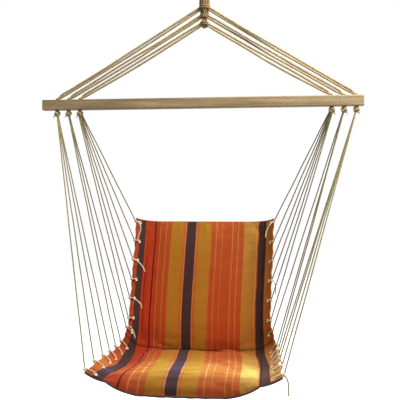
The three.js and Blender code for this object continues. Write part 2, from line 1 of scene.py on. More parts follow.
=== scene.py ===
# A hanging hammock chair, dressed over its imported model: twisted ropes and strings, knots, metal eyelets,
# padded striped cloth and a wooden spreader bar. Units are metres. X runs along the bar, Y from the chair's
# front to its back, Z up. The origin is the point of the hanging loop that bears on its hook.

from math import copysign, cos, pi, radians, sin, sqrt, tan, tanh

import bmesh
import bpy
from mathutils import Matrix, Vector, noise


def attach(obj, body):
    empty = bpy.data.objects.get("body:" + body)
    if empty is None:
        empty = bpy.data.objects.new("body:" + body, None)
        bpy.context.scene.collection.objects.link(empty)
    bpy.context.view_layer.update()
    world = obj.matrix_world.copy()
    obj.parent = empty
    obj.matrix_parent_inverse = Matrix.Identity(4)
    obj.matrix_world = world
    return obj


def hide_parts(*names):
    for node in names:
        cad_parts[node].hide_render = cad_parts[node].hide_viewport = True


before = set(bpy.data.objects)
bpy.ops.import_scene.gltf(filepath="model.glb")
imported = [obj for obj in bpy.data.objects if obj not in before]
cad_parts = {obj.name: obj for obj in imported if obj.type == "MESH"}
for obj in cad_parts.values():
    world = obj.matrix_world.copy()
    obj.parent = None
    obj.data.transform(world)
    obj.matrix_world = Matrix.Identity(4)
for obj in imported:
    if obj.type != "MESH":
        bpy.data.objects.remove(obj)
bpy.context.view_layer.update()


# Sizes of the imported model, which the pieces here follow
CLEARANCE = 0.00035
THROAT_DROP = 0.076
THROAT_KNOT_RADIUS = 0.013
EYE_ROPE_DIAMETER = 0.011
EYE_WIDTH = 0.044
EYE_LEG_SHARE = 0.42
EYE_OUTLINE_SHARES = [(1, 0.5), (0.85, 0.82)]
EYE_SEIZING_RADIUS = 0.012
EYE_SEIZING_HEIGHT = 0.015
TIER_DROPS = {"outer": 0.117, "middle": 0.141, "inner": 0.166}
BUNDLE_TOP_RADIUS = 0.0175
BUNDLE_BOTTOM_RADIUS = 0.012
BUNDLE_TIER_REACH = 0.009
ROPE_DIAMETER = 0.007
STRAND_SPACING = 0.0066
STOPPER_KNOT_RADIUS = 0.0105
BAR_DROP = 0.412
BAR_HEIGHT = 0.033
HOLE_PITCH = 0.037
OUTER_HOLES_APART = 0.938
OUTER_HOLES_MIDDLE_X = -0.004
SLING_MIDDLE_X = -0.017
SEAT_DRIFT = 0.011
BAR_TO_BACK_TOP = 0.379
BACK_TOP_Y = 0.235
BACK_LENGTH = 0.446
BACK_LEAN_DEG = 11.4
SEAT_LENGTH = 0.470
SEAT_RISE_DEG = 2
CREASE_RADIUS = 0.018
EDGE_CREASE_RADIUS = 0.114
CREASE_FLARE_START = 0.090
CLOTH_HALF_WIDTH = 0.269
BACK_FLAT_HALF_WIDTH = 0.150
SEAT_FLAT_HALF_WIDTH = 0.184
FRONT_FLAT_HALF_WIDTH = 0.105
BACK_CURL_DEG = 81
SEAT_CURL_DEG = 60
FRONT_CURL_DEG = 27
CREASE_CURL_SHARES = (-0.3, 0.26)
FRONT_CURL_SHARES = (0.45, 1)
PAD_HALF_WIDTH = 0.207
PAD_EDGE_THICKNESS = 0.0045
BACK_PAD_THICKNESS = 0.030
SEAT_PAD_THICKNESS = 0.044
PAD_CROWN_POWER = 4
LIP_RADIUS = 0.015
HEM_THICKNESS = 0.0024
EYELET_INSET = 0.028
EYELET_OUTER_RADIUS = 0.0068
EYELET_HOLE_RADIUS = 0.0039
EYELET_PROUD = 0.0006
BACK_EYELETS = 7
SEAT_EYELETS = 6
BACK_TOP_TO_EYELET = 0.012
CREASE_TO_BACK_EYELET = 0.046
CREASE_TO_SEAT_EYELET = 0.064
SEAT_FRONT_TO_EYELET = 0.020
STRING_DIAMETER = 0.0036
HEM_KNOT_RADIUS = 0.0048
HEM_KNOT_SIDE_SHARE = 0.62
HEM_KNOT_DEPTH_SHARE = 0.8
EYELET_BEND_RADIUS = 0.0046
EYELET_BEND_DEG = 60
STRINGS_PER_HOLE = {"inner": 6, "middle": 3, "outer": 4}

SIDES = {"left": -1, "right": 1}
HOLES = ["outer", "middle", "inner"]

# Free tails: routes from the middle of the hem knot, as shares of the string's diameter
TAIL_ROUTE_SHARES = {
    ("left", 0): [
        (0.4, -1.2, 0.2), (1.7, -3.6, 0.2), (4.2, -5, -1.7), (5.8, -5, -5.6), (4.8, -4.8, -10.6),
        (2.3, -4.4, -18.3),
    ],
    ("left", 2): [
        (0.3, -1.2, 0.1), (1.7, -3.6, 0), (4.8, -4.8, -1.1), (7.8, -5, -3.6), (10.6, -5.6, -6.7),
        (12.5, -5.8, -10.8),
    ],
    ("left", 4): [
        (0.3, -1.2, 0.1), (1.7, -3.6, 0.6), (5, -4.8, 0.6), (8.3, -5, -1.7), (11.4, -5.2, -4.8),
        (12.5, -5.8, -8.3),
    ],
    ("left", 6): [
        (0.2, -1.2, 0.3), (1.4, -3.3, 1.1), (4.2, -4.8, 1.4), (6.9, -5, -1.4), (8.3, -5, -5.6),
        (9.2, -5, -9.2),
    ],
    ("right", 0): [
        (-0.3, -1.2, 0.1), (-1.4, -3.6, 0), (-3.6, -5, -2.3), (-5.8, -5, -6.1), (-7.2, -5, -10),
        (-7.5, -5, -14.2),
    ],
    ("right", 3): [
        (0.6, -1.1, -0.2), (1.9, -2.8, -1.1), (3.3, -3.6, -3.9), (3.6, -3.6, -7.8),
        (3.1, -3.6, -11.7),
    ],
    ("right", 10): [
        (0.4, -0.8, -0.9), (1.7, -2.5, -2.8), (1.1, -3.9, -6.7), (-0.6, -4.2, -10.6),
        (-1.4, -3.9, -14.4),
    ],
    ("right", 12): [
        (0.7, -0.3, -1.1), (2.3, -1.1, -3.6), (3.1, -1.4, -7.8), (3.1, -1.1, -11.7),
        (3.3, -1.4, -15.3),
    ],
}


def along(start, end, share):
    return start + (end - start) * share


def spaced(start, end, count):
    return [along(start, end, i / (count - 1)) for i in range(count)]


def smoothstep(value, low, high):
    share = min(1, max(0, (value - low) / (high - low)))
    return share * share * (3 - 2 * share)


def polar(radius, angle, height=0.0):
    return Vector((radius * cos(angle), radius * sin(angle), height))


def place_object(name, data):
    placed = bpy.data.objects.new(name, data)
    bpy.context.scene.collection.objects.link(placed)
    return placed


# Camera: level, at the photograph's angle
CAMERA_AZIMUTH_DEG = 6
CAMERA_DISTANCE = 2.0
CAMERA_HEIGHT = -0.715
CAMERA_TARGET_X = -0.014
LENS_MM = 57.6
SENSOR_MM = 36


def place_camera():
    turn = radians(CAMERA_AZIMUTH_DEG)
    data = bpy.data.cameras.new("camera")
    data.lens = LENS_MM
    data.sensor_width = SENSOR_MM
    camera = place_object("camera", data)
    camera.location = (
        CAMERA_TARGET_X + CAMERA_DISTANCE * sin(turn),
        -CAMERA_DISTANCE * cos(turn),
        CAMERA_HEIGHT,
    )
    camera.rotation_euler = (pi / 2, 0, turn)
    bpy.context.scene.camera = camera


place_camera()


# The sling's middle surface

# place is the distance along the cloth from the crease, below zero on the back, and across is the distance
# along the cloth from its middle
BACK_HEADING = -radians(90 + BACK_LEAN_DEG)
SEAT_HEADING = -radians(180 + SEAT_RISE_DEG)
CREASE_TURN = BACK_HEADING - SEAT_HEADING
CREASE_REACH = EDGE_CREASE_RADIUS * tan(CREASE_TURN / 2)


def travel(heading):
    return Vector((0, cos(heading), sin(heading)))


def facing(heading):
    return Vector((0, sin(heading), -cos(heading)))


BACK_TOP = Vector((SLING_MIDDLE_X, BACK_TOP_Y, -BAR_DROP - BAR_TO_BACK_TOP))
CREASE = BACK_TOP + travel(BACK_HEADING) * BACK_LENGTH


def centre_line(place, radius):
    """Point and heading of the sling's middle line, where the crease is rounded with the given radius."""
    reach = radius * tan(CREASE_TURN / 2)
    if abs(place) >= reach:
        heading = BACK_HEADING if place < 0 else SEAT_HEADING
        return CREASE + travel(heading) * place, heading
    heading = BACK_HEADING - CREASE_TURN * ((place + reach) / (2 * reach))
    hub = CREASE - travel(BACK_HEADING) * reach + facing(BACK_HEADING) * radius
    return hub - facing(heading) * radius, heading


def curl_at(place):
    """Half the width of the sling's flat middle, and the angle its edges curl through."""
    on_back, on_seat = CREASE_CURL_SHARES
    past_crease = smoothstep(place, on_back * BACK_LENGTH, on_seat * SEAT_LENGTH)
    at_front = smoothstep(place, *(share * SEAT_LENGTH for share in FRONT_CURL_SHARES))
    flat_half = along(BACK_FLAT_HALF_WIDTH, SEAT_FLAT_HALF_WIDTH, past_crease)
    curl = along(BACK_CURL_DEG, SEAT_CURL_DEG, past_crease)
    return (
        along(flat_half, FRONT_FLAT_HALF_WIDTH, at_front),
        radians(along(curl, FRONT_CURL_DEG, at_front)),
    )


def sling_point(place, across):
    out = abs(across)
    flare = max(0, (out - CREASE_FLARE_START) / (CLOTH_HALF_WIDTH - CREASE_FLARE_START))
    point, heading = centre_line(place, along(CREASE_RADIUS, EDGE_CREASE_RADIUS, flare))
    flat_half, curl = curl_at(place)
    curl_radius = (CLOTH_HALF_WIDTH - flat_half) / curl
    turn = max(0, out - flat_half) / curl_radius
    x = min(out, flat_half) + curl_radius * sin(turn)
    drift = SEAT_DRIFT * smoothstep(place, -BACK_LENGTH, -CREASE_REACH)
    point = point + Vector((copysign(x, across) - drift, 0, 0))
    return point + facing(heading) * curl_radius * (1 - cos(turn))


def sling_frame(place, across):
    """Point of the sling, the way out to its side, and square to the cloth on the sitter's side."""
    step = CLEARANCE
    outward = (sling_point(place, across + step) - sling_point(place, across - step)).normalized()
    onward = (sling_point(place + step, across) - sling_point(place - step, across)).normalized()
    square = onward.cross(outward).normalized()
    return sling_point(place, across), outward * copysign(1, across), square


def off_sling(place, across, height):
    point, _, square = sling_frame(place, across)
    return point + square * height


def from_middle(across):
    """0 in the padding's middle and 1 at its sides, rising late so that the padding stays full."""
    return abs(across / PAD_HALF_WIDTH) ** PAD_CROWN_POWER


def pad_thickness(place, across):
    on_back = place < 0
    from_centre = abs(1 + 2 * place / BACK_LENGTH) if on_back else 1 - place / SEAT_LENGTH
    length_crown = max(0, 1 - abs(from_centre) ** PAD_CROWN_POWER)
    most = BACK_PAD_THICKNESS if on_back else SEAT_PAD_THICKNESS
    return along(PAD_EDGE_THICKNESS, most, length_crown * (1 - from_middle(across)))


# Places of the eyelets, knots and holes
EYELET_PLACES = (
    spaced(-BACK_LENGTH + BACK_TOP_TO_EYELET, -CREASE_TO_BACK_EYELET, BACK_EYELETS)
    + spaced(CREASE_TO_SEAT_EYELET, SEAT_LENGTH - SEAT_FRONT_TO_EYELET, SEAT_EYELETS)
)
EYELET_ACROSS = CLOTH_HALF_WIDTH - EYELET_INSET
LACES = [(side, index) for side in SIDES for index in range(len(EYELET_PLACES))]
BAR_TOP = -BAR_DROP + BAR_HEIGHT / 2
BAR_BOTTOM = -BAR_DROP - BAR_HEIGHT / 2
KNOT_HEIGHT = BAR_BOTTOM - CLEARANCE - STOPPER_KNOT_RADIUS


def stopper_knot_place(side, hole):
    out = OUTER_HOLES_APART / 2 - HOLES.index(hole) * HOLE_PITCH
    return Vector((OUTER_HOLES_MIDDLE_X + SIDES[side] * out, 0, KNOT_HEIGHT))


def hem_knot_place(side, index):
    point, outward, _ = sling_frame(EYELET_PLACES[index], SIDES[side] * CLOTH_HALF_WIDTH)
    return point + outward * (HEM_KNOT_RADIUS + CLEARANCE)


def string_hole(index):
    if index < STRINGS_PER_HOLE["inner"]:
        return "inner"
    return "middle" if index < STRINGS_PER_HOLE["inner"] + STRINGS_PER_HOLE["middle"] else "outer"


def string_row(side, hole):
    """The strings that share a stopper knot, and the direction in which they stand side by side there."""
    knot = stopper_knot_place(side, hole)
    members = [i for i in range(len(EYELET_PLACES)) if string_hole(i) == hole]
    slopes = []
    for member in members:
        run = hem_knot_place(side, member) - knot
        slopes.append(Vector((run.x, run.y, 0)) / -run.z)
    return members, (slopes[-1] - slopes[0]).normalized()


# Mesh making
def add_object(name, mesh, material, body):
    for polygon in mesh.polygons:
        polygon.use_smooth = True
    mesh.materials.append(material)
    piece = place_object(name, mesh)
    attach(piece, body)
    return piece


def make_mesh(name, points, faces, uvs=None, values=None):
    """Mesh from points and faces, with one UV and any named numbers for each point."""
    mesh = bpy.data.meshes.new(name)
    mesh.from_pydata(points, [], faces)
    if uvs:
        layer = mesh.uv_layers.new(name="UVMap")
        for loop in mesh.loops:
            layer.data[loop.index].uv = uvs[loop.vertex_index]
    for key, numbers in (values or {}).items():
        mesh.attributes.new(key, "FLOAT", "POINT").data.foreach_set("value", numbers)
    mesh.validate()
    mesh.update()
    return mesh


def smooth_route(points, step):
    """Points about one step apart on a smooth curve through the given points."""
    points = [Vector(p) for p in points]
    run_out = [2 * points[0] - points[1]] + points + [2 * points[-1] - points[-2]]
    route = []
    for a, b, c, d in zip(run_out, run_out[1:], run_out[2:], run_out[3:]):
        count = max(1, round((c - b).length / step))
        for i in range(count):
            t = i / count
            bend = (2 * a - 5 * b + 4 * c - d) * t**2 + (3 * b - a - 3 * c + d) * t**3
            route.append((2 * b + (c - a) * t + bend) / 2)
    route.append(points[-1])
    return route


def round_section(diameter, sides):
    return [(diameter / 2, 2 * pi * i / sides) for i in range(sides)]


STRANDS = 3
GROOVE_FILL_SHARE = 0.8


def rope_section(diameter, sides_per_strand):
    """Outline of a twisted rope: strands side by side, pressed together so that the grooves fill."""
    apart = 1 / sin(pi / STRANDS)
    strand = diameter / 2 / (1 + apart)
    outline = []
    spread = pi / STRANDS * (sides_per_strand - 1) / sides_per_strand
    for lobe in range(STRANDS):
        for turn in spaced(-spread, spread, sides_per_strand):
            reach = apart * cos(turn) + sqrt(max(0, 1 - (apart * sin(turn)) ** 2))
            radius = along(strand * reach, diameter / 2, GROOVE_FILL_SHARE)
            outline.append((radius, 2 * pi * lobe / STRANDS + turn))
    return outline


ROPE_SIDES = 5
ROPE_SECTION = rope_section(ROPE_DIAMETER, ROPE_SIDES)
ROPE_PITCH = 0.024
ROPE_STEP = 0.0018
# The strands stand a little proud of the nominal size, because the grooves between them lie inside it
STRING_SWELL_SHARE = 1.1
STRING_SIDES = 4
STRING_SECTION = rope_section(STRING_DIAMETER * STRING_SWELL_SHARE, STRING_SIDES)
STRING_PITCH = 0.013
STRING_STEP = 0.0012
FIBRE_DIAMETER = 0.0007
FIBRE_SECTION = round_section(FIBRE_DIAMETER, 5)


class Soup:
    """Points, faces and UVs of several swept shapes that make one mesh."""

    def __init__(self):
        self.points = []
        self.faces = []
        self.uvs = []

    def sweep(self, route, section, pitch=None):
        """Sweeps a round or lobed section along a route, turning once in each pitch."""
        count = len(section)
        start = len(self.points)
        side = (route[1] - route[0]).normalized().orthogonal().normalized()
        travelled = 0
        for i, centre in enumerate(route):
            before = route[max(i - 1, 0)]
            after = route[min(i + 1, len(route) - 1)]
            tangent = (after - before).normalized()
            side = (side - tangent * side.dot(tangent)).normalized()
            up = tangent.cross(side)
            travelled += (centre - before).length
            twist = 2 * pi * travelled / pitch if pitch else 0
            for j, (radius, angle) in enumerate(section):
                spot = side * cos(angle + twist) + up * sin(angle + twist)
                self.points.append(centre + spot * radius)
                self.uvs.append((travelled, j / count))
        for i in range(len(route) - 1):
            for j in range(count):
                a = start + i * count + j
                b = start + i * count + (j + 1) % count
                self.faces.append((a, b, b + count, a + count))
        self.faces.append(tuple(start + j for j in reversed(range(count))))
        last = start + (len(route) - 1) * count
        self.faces.append(tuple(last + j for j in range(count)))

    def rope(self, route):
        self.sweep(route, ROPE_SECTION, ROPE_PITCH)

    def string(self, route):
        self.sweep(route, STRING_SECTION, STRING_PITCH)

    def mesh(self, name):
        return make_mesh(name, self.points, self.faces, self.uvs)


def numbered(kind, side, index):
    return f"{kind}_{side}_{index + 1:02d}"


# Materials
def rgb(red, green, blue):
    """Linear colour from 0 to 255 display values."""
    def linear(value):
        value /= 255
        return value / 12.92 if value <= 0.04045 else ((value + 0.055) / 1.055) ** 2.4
    return linear(red), linear(green), linear(blue), 1


WHITE = (1, 1, 1, 1)


class Nodes:
    """The nodes of a material or a world, with a short call for each kind that is used here."""

    def __init__(self, owner, shader):
        owner.use_nodes = True
        self.tree = owner.node_tree
        self.inputs = self.tree.nodes[shader].inputs

    def feed(self, socket, value):
        """Joins a socket to another node's output, or gives it a constant."""
        if isinstance(value, bpy.types.NodeSocket):
            self.tree.links.new(value, socket)
        else:
            socket.default_value = value

    def set(self, **values):
        """Feeds the shader's sockets, whose names have underscores here in place of spaces."""
        for name, value in values.items():
            self.feed(self.inputs[name.replace("_", " ")], value)

    def add(self, kind, inputs=(), **settings):
        """Outputs of a new node. The inputs are pairs of a socket's name or number and what it gets."""
        made = self.tree.nodes.new(f"ShaderNode{kind}")
        for key, value in settings.items():
            setattr(made, key, value)
        for key, value in inputs:
            self.feed(made.inputs[key], value)
        return made.outputs

    def math(self, operation, *values):
        return self.add("Math", enumerate(values), operation=operation)[0]

    def total(self, start, *weighted):
        """A start value and several others, each times its own share."""
        for value, share in weighted:
            start = self.math("MULTIPLY_ADD", value, share, start)
        return start

    def mix(self, blend, amount, first, second):
        inputs = ((0, amount), (6, first), (7, second))
        return self.add("Mix", inputs, data_type="RGBA", blend_type=blend)[2]

    def ramp(self, value, stops, interpolation="LINEAR"):
        """Colour at a value, between stops that each have a position and a colour."""
        made = self.tree.nodes.new("ShaderNodeValToRGB")
        made.color_ramp.interpolation = interpolation
        elements = made.color_ramp.elements
        for end in (0, -1):
            elements[end].position = stops[end][0]
            elements[end].color = stops[end][1]
        for position, colour in stops[1:-1]:
            elements.new(position).color = colour
        self.feed(made.inputs[0], value)
        return made.outputs[0]

    def noise(self, vector, scale, detail=2.0, roughness=0.5):
        inputs = (("Vector", vector), ("Scale", scale), ("Detail", detail), ("Roughness", roughness))
        return self.add("TexNoise", inputs)[0]

    def stretched(self, vector, scale):
        return self.add("Mapping", (("Vector", vector), ("Scale", scale)))[0]

    def limited(self, value, low, high):
        return self.add("MapRange", (("Value", value), ("To Min", low), ("To Max", high)))[0]

    def split(self, vector):
        return self.add("SeparateXYZ", ((0, vector),))

    def position(self):
        return self.add("TexCoord")["Object"]

    def bump(self, height, relief, strength):
        inputs = (("Height", height), ("Distance", relief), ("Strength", strength))
        self.set(Normal=self.add("Bump", inputs)[0])


def new_material(name, roughness, sheen=0.0, sheen_tint=WHITE, specular=0.3):
    material = bpy.data.materials.new(name)
    nodes = Nodes(material, "Principled BSDF")
    nodes.set(Roughness=roughness, Sheen_Weight=sheen, Sheen_Tint=sheen_tint, Specular_IOR_Level=specular)
    return material, nodes


# Cotton: the yarns' size along and round a strand, and how strongly the yarns and the grubby patches show
ROPE_YARN_PITCH = 0.0022
STRING_YARN_PITCH = 0.0013
YARNS_AROUND = 9
YARN_TONE_SHARE = 0.12
YARN_HEIGHT_SHARE = 0.35
PATCH_SHARE = 0.5
COTTON_RELIEF = 0.0001


def cotton_material(name, yarn_pitch, dark, pale):
    """Undyed twisted cotton: slanted yarns along each strand, soft fuzz and grubby patches."""
    material, nodes = new_material(name, roughness=0.92, sheen=0.12, sheen_tint=(1, 0.95, 0.85, 1))
    uv = nodes.split(nodes.add("UVMap", uv_map="UVMap")[0])
    slant = nodes.math("MULTIPLY_ADD", uv[0], 1 / yarn_pitch, 0.5)
    phase = nodes.math("MULTIPLY_ADD", uv[1], YARNS_AROUND, slant)
    wave = nodes.math("SINE", nodes.math("MULTIPLY", phase, 2 * pi))
    position = nodes.position()
    fuzz = nodes.noise(position, scale=2600, detail=3)
    patches = nodes.noise(position, scale=55, detail=3)
    tone = nodes.total(fuzz, (wave, YARN_TONE_SHARE), (patches, PATCH_SHARE))
    nodes.set(Base_Color=nodes.ramp(tone, [(0.45, dark), (0.95, pale)]))
    nodes.bump(nodes.total(fuzz, (wave, YARN_HEIGHT_SHARE)), COTTON_RELIEF, strength=0.5)
    return material


ROPE_COTTON = cotton_material("rope_cotton", ROPE_YARN_PITCH, rgb(122, 106, 72), rgb(176, 156, 114))
BUNDLE_COTTON = cotton_material("bundle_cotton", ROPE_YARN_PITCH, rgb(92, 72, 48), rgb(134, 110, 76))
STRING_COTTON = cotton_material("string_cotton", STRING_YARN_PITCH, rgb(92, 80, 48), rgb(150, 136, 94))
# Pale cotton of the tails, the eyelet loops and the hem knots: cleaner cotton, and painted paler where they
# catch the light
PALE_COTTON = cotton_material("pale_cotton", STRING_YARN_PITCH, rgb(150, 134, 102), rgb(236, 222, 192))

# Wood: how strongly each pattern shows, how much painted light pales the bar to the right, and the depth of
# its pores
FIBRE_SHARE = 0.45
BAND_SHARE = 0.8
WIDE_BAND_SHARE = 0.35
PAINTED_LIGHT_TO_THE_RIGHT = 0.2
WOOD_RELIEF = 0.0006
WOOD_TONES = [
    (0.50, rgb(86, 68, 44)),
    (0.72, rgb(120, 100, 70)),
    (0.88, rgb(144, 124, 92)),
    (1.0, rgb(164, 146, 114)),
]


def wood_material():
    """Plain planed wood: grain along the bar, paler bands, small pores and a thin satin lacquer."""
    material, nodes = new_material("bar_wood", roughness=0.5)
    nodes.set(Coat_Weight=0.15, Coat_Roughness=0.4)
    position = nodes.position()
    bands = nodes.noise(nodes.stretched(position, (1, 22, 22)), scale=3.5, detail=4, roughness=0.6)
    fibres = nodes.noise(nodes.stretched(position, (1, 60, 60)), scale=22, detail=5, roughness=0.65)
    wide = nodes.noise(position, scale=4)
    patterns = ((fibres, FIBRE_SHARE), (bands, BAND_SHARE), (wide, WIDE_BAND_SHARE))
    # Painted light pales the bar towards its right end
    tone = nodes.total(0.0, *patterns, (nodes.split(position)[0], PAINTED_LIGHT_TO_THE_RIGHT))
    nodes.set(Base_Color=nodes.ramp(tone, WOOD_TONES), Roughness=nodes.limited(fibres, low=0.42, high=0.68))
    nodes.bump(fibres, WOOD_RELIEF, strength=0.6)
    return material


BAR_WOOD = wood_material()

# Stripes of the cloth: where each begins, in metres across the cloth from its middle, its colour and the
# paler colour that the painted sheen gives it
RED = (rgb(184, 54, 20), rgb(200, 106, 50))
RED_ORANGE = (rgb(182, 68, 24), rgb(208, 134, 66))
ORANGE = (rgb(186, 88, 34), rgb(210, 146, 78))
GOLD = (rgb(178, 112, 28), rgb(200, 162, 60))
# Its paler colour is brighter still: a painted highlight on the seat's right rear
RIGHT_GOLD = (rgb(178, 112, 36), rgb(230, 202, 108))
# Its own colour is painted lighter, as painted light on the right hem, whose cloth faces inward into shade
BROWN_GOLD = (rgb(200, 118, 46), rgb(196, 146, 84))
DARK = (rgb(68, 42, 38), rgb(82, 70, 98))
RIGHT_DARK = (rgb(68, 42, 38), rgb(88, 62, 54))
BLACK = (rgb(54, 18, 16), rgb(84, 34, 24))
LIGHT_LINE = (rgb(204, 126, 62), rgb(224, 186, 116))
PINSTRIPE = (rgb(190, 96, 46), rgb(224, 178, 108))
STRIPES = [
    (-0.2750, RED_ORANGE),
    (-0.2455, DARK),
    (-0.2165, RED),
    (-0.1790, BLACK),
    (-0.1754, RED),
    (-0.1590, PINSTRIPE),
    (-0.1555, RED_ORANGE),
    (-0.1380, PINSTRIPE),
    (-0.1340, RED_ORANGE),
    (-0.1190, GOLD),
    (-0.0760, ORANGE),
    (-0.0700, LIGHT_LINE),
    (-0.0680, ORANGE),
    (-0.0646, DARK),
    (-0.0337, LIGHT_LINE),
    (-0.0310, ORANGE),
    (-0.0230, GOLD),
    (0.0180, ORANGE),
    (0.0230, RED_ORANGE),
    (0.0365, PINSTRIPE),
    (0.0400, RED_ORANGE),
    (0.0560, PINSTRIPE),
    (0.0600, RED_ORANGE),
    (0.0905, PINSTRIPE),
    (0.0950, RED_ORANGE),
    (0.1110, PINSTRIPE),
    (0.1160, RED_ORANGE),
    (0.1320, RIGHT_GOLD),
    (0.1775, LIGHT_LINE),
    (0.1810, ORANGE),
    (0.1863, RIGHT_DARK),
    (0.2160, BROWN_GOLD),
]
STRIPES_WIDTH = -2 * STRIPES[0][0]
# How strongly the painted sheen pales the cloth at each place along it, and how much more so to the right
PAINTED_SHEEN = [
    (-0.446, 0.15), (-0.25, 0.05), (-0.05, 0), (0.006, 0), (0.06, 0.05), (0.20, 0.18),
    (0.27, 0.45), (0.33, 0.85), (0.385, 0.95), (0.43, 0.30), (0.50, 0),
]
PAINTED_SHEEN_TO_THE_RIGHT = 1.6
# Brightness that painted shade leaves along the cloth: darker at the back's top and over the seat, darkest
# in the crease, and dark on the lip's front face
PAINTED_SHADE = [
    (-0.446, 0.82), (-0.25, 0.92), (-0.12, 1), (-0.012, 0.85), (-0.003, 0.35), (0.003, 0.35), (0.012, 0.72),
    (0.10, 0.76), (0.24, 0.82), (0.33, 0.94), (0.38, 0.94), (0.43, 0.66), (0.50, 0.55),
]
# The cloth's whole length, with room at both ends, that these two lists are spread over
RAMP_SPAN = 1.1
THREAD_PITCH = 0.0011
WEAVE_RELIEF = 0.00035
# How far the stripes' edges waver, and the edges of the painted sheen's and the painted shade's bands
STRIPE_WAVER = 0.0016
BAND_WAVER = 0.012
# The painted sheen's bands across the cloth: how sharply they stand out, and how much of the cloth lies
# between them
BAND_CONTRAST = 3.2
BAND_START = -0.6
# How much each pattern changes the cloth's brightness
PLAIN_SHARE = 0.42
WARP_SHARE = 0.55
WEFT_SHARE = 0.32
BLOTCH_SHARE = 0.25
THREAD_SHARE = 0.07


def woven_nodes(nodes):
    """Numbers across and along the cloth, both as a vector, and the height of its crossing threads."""
    across = nodes.add("Attribute", attribute_name="across")["Fac"]
    place = nodes.add("Attribute", attribute_name="place")["Fac"]
    cell = pi / THREAD_PITCH
    warp = nodes.math("SINE", nodes.math("MULTIPLY", across, 2 * cell))
    weft = nodes.math("SINE", nodes.math("MULTIPLY", place, cell))
    crossing = nodes.math("MULTIPLY", warp, weft)
    threads = nodes.math("MULTIPLY_ADD", nodes.math("ABSOLUTE", weft), 0.5, crossing)
    flat = nodes.add("CombineXYZ", ((0, across), (1, place)))[0]
    return across, place, flat, threads


def cloth_material(name, brightness):
    """Woven cotton with lengthwise stripes: crossing threads, streaky yarns, blotches, painted sheen and
    painted shade.
    """
    material, nodes = new_material(name, 0.85, sheen=0.04, sheen_tint=(1, 0.85, 0.7, 1), specular=0.12)
    across, place, flat, threads = woven_nodes(nodes)
    waver = nodes.math("SUBTRACT", nodes.noise(flat, scale=30), 0.5)
    share_across = nodes.total(0.5, (across, 1 / STRIPES_WIDTH), (waver, STRIPE_WAVER / STRIPES_WIDTH))
    share_along = nodes.total(0.5, (place, 1 / RAMP_SPAN), (waver, BAND_WAVER / RAMP_SPAN))

    def stripes(state):
        stops = [(start / STRIPES_WIDTH + 0.5, pair[state]) for start, pair in STRIPES]
        return nodes.ramp(share_across, stops, "CONSTANT")

    def levels(changes):
        stops = [(spot / RAMP_SPAN + 0.5, (level, level, level, 1)) for spot, level in changes]
        return nodes.ramp(share_along, stops)

    # Painted sheen: pales the stripes in patches, most on the seat's top towards its front and more to the
    # right
    bands = nodes.noise(nodes.stretched(flat, (0.4, 1.4, 1)), scale=32, detail=3)
    sheen_amount = nodes.math("MULTIPLY_ADD", bands, BAND_CONTRAST, BAND_START)
    for level in (levels(PAINTED_SHEEN), nodes.math("MULTIPLY_ADD", across, PAINTED_SHEEN_TO_THE_RIGHT, 1)):
        sheen_amount = nodes.math("MULTIPLY", sheen_amount, level)
    colour = nodes.mix("MIX", sheen_amount, stripes(0), stripes(1))
    warp_streaks = nodes.noise(nodes.stretched(flat, (1, 0.035, 1)), scale=700, roughness=0.7)
    weft_streaks = nodes.noise(nodes.stretched(flat, (0.05, 1, 1)), scale=500, roughness=0.7)
    blotches = nodes.noise(flat, scale=9, detail=3)
    yarns = ((warp_streaks, WARP_SHARE), (weft_streaks, WEFT_SHARE))
    light = nodes.total(PLAIN_SHARE * brightness, *yarns, (blotches, BLOTCH_SHARE), (threads, THREAD_SHARE))
    # The yarns' own tone, then the painted shade along the cloth, darken the colour
    for level in (light, levels(PAINTED_SHADE)):
        colour = nodes.mix("MULTIPLY", 1.0, colour, level)
    nodes.set(Base_Color=colour)
    nodes.bump(threads, WEAVE_RELIEF, strength=0.8)
    return material


STRIPED_CLOTH = cloth_material("striped_cloth", 1.0)
REAR_CLOTH = cloth_material("rear_cloth", 0.85)
BINDING_RELIEF = 0.0003
METAL_RELIEF = 0.0001


def plain_cloth_material(name, colour, paler):
    material, nodes = new_material(name, roughness=0.88, sheen=0.05)
    fine = nodes.noise(nodes.position(), scale=1500, detail=3)
    nodes.set(Base_Color=nodes.ramp(fine, [(0.35, colour), (0.7, paler)]))
    nodes.bump(fine, BINDING_RELIEF, strength=0.6)
    return material


def eyelet_material():
    """Bright pressed metal with faint scratches and duller, slightly worn patches."""
    material, nodes = new_material("eyelet_metal", roughness=0.3)
    worn = nodes.noise(nodes.position(), scale=900, detail=3)
    stops = [(0.3, rgb(206, 200, 188)), (0.8, rgb(238, 234, 226))]
    roughness = nodes.limited(worn, low=0.22, high=0.45)
    nodes.set(Metallic=1, Base_Color=nodes.ramp(worn, stops), Roughness=roughness)
    nodes.bump(worn, METAL_RELIEF, strength=0.4)
    return material


DARK_BINDING = plain_cloth_material("dark_binding", rgb(44, 26, 24), rgb(76, 46, 40))
RED_BINDING = plain_cloth_material("red_binding", rgb(96, 36, 18), rgb(140, 58, 30))
THREAD = plain_cloth_material("sewing_thread", rgb(92, 50, 34), rgb(134, 82, 54))
EYELET_METAL = eyelet_material()


# Free tails of some strings
# These tails hang in shade: they get the darker string cotton as painted shade
SHADED_TAILS = {("right", 10), ("right", 12)}


def add_tail(side, index, shares):
    name = numbered("string_tail", side, index)
    knot = hem_knot_place(side, index)
    route = smooth_route([knot + Vector(share) * STRING_DIAMETER for share in shares], STRING_STEP)
    soup = Soup()
    soup.string(route)
    # Tails in shade get the darker cotton as painted shade, the others the pale cotton
    cotton = STRING_COTTON if (side, index) in SHADED_TAILS else PALE_COTTON
    tail = add_object(f"{name}_cord", soup.mesh(name), cotton, "sling")
    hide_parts(name)


